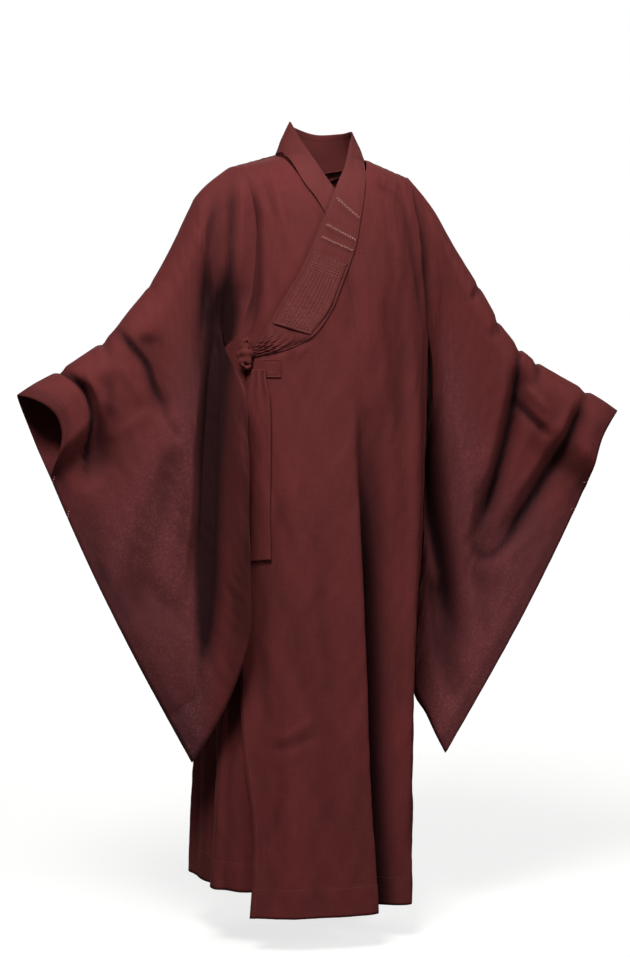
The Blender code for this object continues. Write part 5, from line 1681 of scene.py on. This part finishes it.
class RobeCloth(bpy.types.PropertyGroup):
    """The cloth: its dye, its yarn and its thin places."""

    colour: hex_colour("Cloth colour", "Dye of the body and sleeves", "#5E2324")
    band_colour: hex_colour("Band colour", "Dye of the layered collar band", "#5F2A29")
    dark_colour: hex_colour("Deep dye", "Where the dye took more", "#51201F")
    yarn_colour: hex_colour("Yarn colour", "Thick uneven yarn that took less dye", "#7C4340")
    # Painted shade deep in the folds, which the hems also darken towards
    shade_and_hem_colour: hex_colour("Fold shade and hem colour", "Cloth deep in the folds", "#1C070A")
    # The sheer sleeves' mottled colours, lighter in part as painted light shining through the thin cloth
    sheer_glow_light: hex_colour("Sheer glow light", "Thin cloth of the hanging sleeves, light", "#6F3E43")
    sheer_glow_dark: hex_colour("Sheer glow dark", "Thin cloth of the hanging sleeves, dark", "#451A1F")
    slub_width: metres("Slub width", "Width of an uneven yarn's streak", 0.0022)
    slub_length: metres("Slub length", "Length of an uneven yarn's streak", 0.045)
    thread_spacing: metres("Thread spacing", "Drawn thread spacing", 0.0014)
    speck_size: metres("Speck size", "Size of the bright specks in sheer cloth", 0.0042)
    slub_strength: factor("Slub strength", "How much the streaks show", 0.16)
    # How much the sheer colours show, and how strongly the painted shade and the hems' darkening show
    sheer_share: factor("Sheer share", "How sheer the hanging sleeves look", 0.55)
    shade_and_hem_share: factor("Shade and hem darkness", "How much the folds darken", 0.95)


class RobeSewing(bpy.types.PropertyGroup):
    """The visible rows of stitches."""

    colour: hex_colour("Thread colour", "Sewing thread", "#6F3634")
    quilt_colour: hex_colour("Quilting colour", "Thread of the quilted stretch", "#9A5C57")
    bar_colour: hex_colour("Bar colour", "Pale thread of the bars and tacks", "#C79A90")
    spacing: metres("Stitch spacing", "From one stitch to the next", 0.0044)
    length: metres("Stitch length", "Length of a stitch", 0.0034)
    width: metres("Stitch width", "Width of a stitch", 0.0008)
    unevenness: factor("Unevenness", "How much the stitches vary", 0.2)
    seed: bpy.props.IntProperty(name="Seed", description="Draw of the stitches' sizes", default=5)


class RobeStage(bpy.types.PropertyGroup):
    """The floor, the lights and the camera."""

    floor_colour: hex_colour("Floor colour", "Pale studio floor", "#8E8D8B")
    key_power: watts("Key power", "Large soft light, high at the camera's left", 148)
    fill_power: watts("Fill power", "Weak soft light from the camera's right", 46)
    back_power: watts("Back power", "Soft light behind the robe", 40)
    sky: factor("Room light", "Light from all round", 0.10)


class ROBE_OT_body(bpy.types.Operator):
    """Add the two halves of the body, each cut in one over the shoulder"""

    bl_idname = "robe.body"
    bl_label = "Body"

    def execute(self, context):
        finish = plain_weave(context)
        for side, name in ((1, "left"), (-1, "right")):
            grid = body_half(side)
            # The body's folds carry painted shade on the mesh
            piece = add_cloth(f"robe_body_{name}", grid, finish, dark=body_fold_shade(grid))
            belongs(piece, "maroon_plain_weave", f"body_{name}_front", f"body_{name}_back")
        return {"FINISHED"}


class ROBE_OT_overlaps(bpy.types.Operator):
    """Add the outer overlap and the inner one below it"""

    bl_idname = "robe.overlaps"
    bl_label = "Overlaps"

    def execute(self, context):
        finish = plain_weave(context)
        panels = (("outer", True, "robe_body_left"), ("inner", False, "robe_body_right"))
        for name, outer, rests_on in panels:
            grid = overlap(outer)
            # The panels' folds carry painted shade on the mesh
            piece = add_cloth(f"robe_overlap_{name}", grid, finish, dark=body_fold_shade(grid))
            belongs(piece, "maroon_plain_weave", f"overlap_{name}")
        return {"FINISHED"}


class ROBE_OT_sleeves(bpy.types.Operator):
    """Add the two bag sleeves"""

    bl_idname = "robe.sleeves"
    bl_label = "Sleeves"

    def execute(self, context):
        finish = plain_weave(context)
        for side, name in ((1, "left"), (-1, "right")):
            grid, sheer, dark = sleeve(side)
            # Each sleeve carries its painted shade, and its sheer mask, lighter in part as painted light
            # shining through
            piece = add_cloth(f"robe_sleeve_{name}", grid, finish, closed=True, sheer=sheer, dark=dark)
            belongs(piece, "maroon_plain_weave", f"sleeve_{name}")
        return {"FINISHED"}


class ROBE_OT_collar(bpy.types.Operator):
    """Add the collar band and its quilted stretch"""

    bl_idname = "robe.collar"
    bl_label = "Collar"

    def execute(self, context):
        finish = band_weave(context)
        band = add_cloth("robe_collar", collar_grid(), finish, BAND_WALL)
        belongs(band, "maroon_stitched_band", "collar")
        patch = add_cloth("robe_collar_patch", patch_grid(), finish)
        belongs(patch, "maroon_stitched_band", "collar_patch")
        return {"FINISHED"}


class ROBE_OT_ties(bpy.types.Operator):
    """Add the ties' patch, their two hanging ends and the knot"""

    bl_idname = "robe.ties"
    bl_label = "Ties"

    def execute(self, context):
        finish = plain_weave(context)
        square = add_cloth("robe_tie_patch", tie_patch(), finish)
        belongs(square, "maroon_plain_weave", "tie_patch")
        for name, grid in tie_grids().items():
            piece = add_cloth(f"robe_tie_{name}", grid, finish, TIE_WALL)
            belongs(piece, "maroon_plain_weave", f"tie_{name}")
        add_knot(finish)
        return {"FINISHED"}


class ROBE_OT_stitches(bpy.types.Operator):
    """Sew the visible rows of stitches and the tacks at the sleeves' mouths"""

    bl_idname = "robe.stitches"
    bl_label = "Stitches"

    def execute(self, context):
        sewing = context.scene.robe_sewing
        seams = cloth_seams() + tie_seams(tie_grids().values())
        for name, lines, thread, colour, width, slot in (
            ("band", band_seams(), "maroon sewing thread", sewing.colour, 1.0, "maroon_stitched_band"),
            ("quilting", quilting(), "rose sewing thread", sewing.quilt_colour, 1.0, "maroon_stitched_band"),
            ("bar", band_bars(), "pale sewing thread", sewing.bar_colour, 1.5, "maroon_stitched_band"),
            ("cloth", seams, "maroon sewing thread", sewing.colour, 1.0, "maroon_plain_weave"),
            ("tack", tacks(), "pale sewing thread", sewing.bar_colour, 2.0, "maroon_plain_weave"),
        ):
            belongs(add_stitches(context, f"robe_{name}_stitches", lines, thread, colour, width), slot)
        return {"FINISHED"}


class ROBE_OT_stage(bpy.types.Operator):
    """Set the pale floor, the soft studio light and the camera"""

    bl_idname = "robe.stage"
    bl_label = "Stage"

    def execute(self, context):
        stage = context.scene.robe_stage
        bpy.ops.mesh.primitive_cylinder_add(vertices=96, radius=FLOOR_RADIUS, depth=FLOOR_THICKNESS)
        floor = context.object
        floor.name = floor.data.name = "studio_floor"
        floor.data.transform(Matrix.Translation((0, 0, FLOOR_Z - FLOOR_THICKNESS / 2)))
        floor.data.materials.append(pale_floor("painted studio floor", linear(stage.floor_colour)))
        floor.visible_diffuse = False
        floor.visible_glossy = False
        for name, place, size, power in (
            ("key", KEY_PLACE, KEY_SIZE, stage.key_power),
            ("fill", FILL_PLACE, FILL_SIZE, stage.fill_power),
            ("back", BACK_PLACE, BACK_SIZE, stage.back_power),
        ):
            lamp = bpy.data.lights.new(name, "AREA")
            lamp.energy = power
            lamp.size = size
            light = bpy.data.objects.new(name, lamp)
            light.location = place
            light.rotation_euler = (Vector(LIGHT_AIM) - light.location).to_track_quat("-Z", "Y").to_euler()
            context.scene.collection.objects.link(light)
        set_world(context.scene, stage.sky)
        set_camera(context.scene)
        context.scene.view_settings.view_transform = "Standard"
        return {"FINISHED"}


class ROBE_PT_panel(bpy.types.Panel):
    """The robe's pieces and settings"""

    bl_idname = "ROBE_PT_panel"
    bl_label = "Monk robe"
    bl_space_type = "VIEW_3D"
    bl_region_type = "UI"
    bl_category = "Robe"

    def draw(self, context):
        for operator in OPERATORS:
            self.layout.operator(operator.bl_idname)
        for group in SETTINGS:
            box = self.layout.box()
            values = getattr(context.scene, group)
            for name in SETTINGS[group].__annotations__:
                box.prop(values, name)


SETTINGS = {"robe_cloth": RobeCloth, "robe_sewing": RobeSewing, "robe_stage": RobeStage}
OPERATORS = (
    ROBE_OT_body,
    ROBE_OT_overlaps,
    ROBE_OT_sleeves,
    ROBE_OT_collar,
    ROBE_OT_ties,
    ROBE_OT_stitches,
    ROBE_OT_stage,
)


def register():
    for made in (*SETTINGS.values(), *OPERATORS, ROBE_PT_panel):
        bpy.utils.register_class(made)
    for name, group in SETTINGS.items():
        setattr(bpy.types.Scene, name, bpy.props.PointerProperty(type=group))


def unregister():
    for name in SETTINGS:
        delattr(bpy.types.Scene, name)
    for made in (ROBE_PT_panel, *reversed(OPERATORS), *reversed(SETTINGS.values())):
        bpy.utils.unregister_class(made)


def main():
    register()
    for operator in OPERATORS:
        family, name = operator.bl_idname.split(".")
        getattr(getattr(bpy.ops, family), name)()


if __name__ == "__main__":
    main()
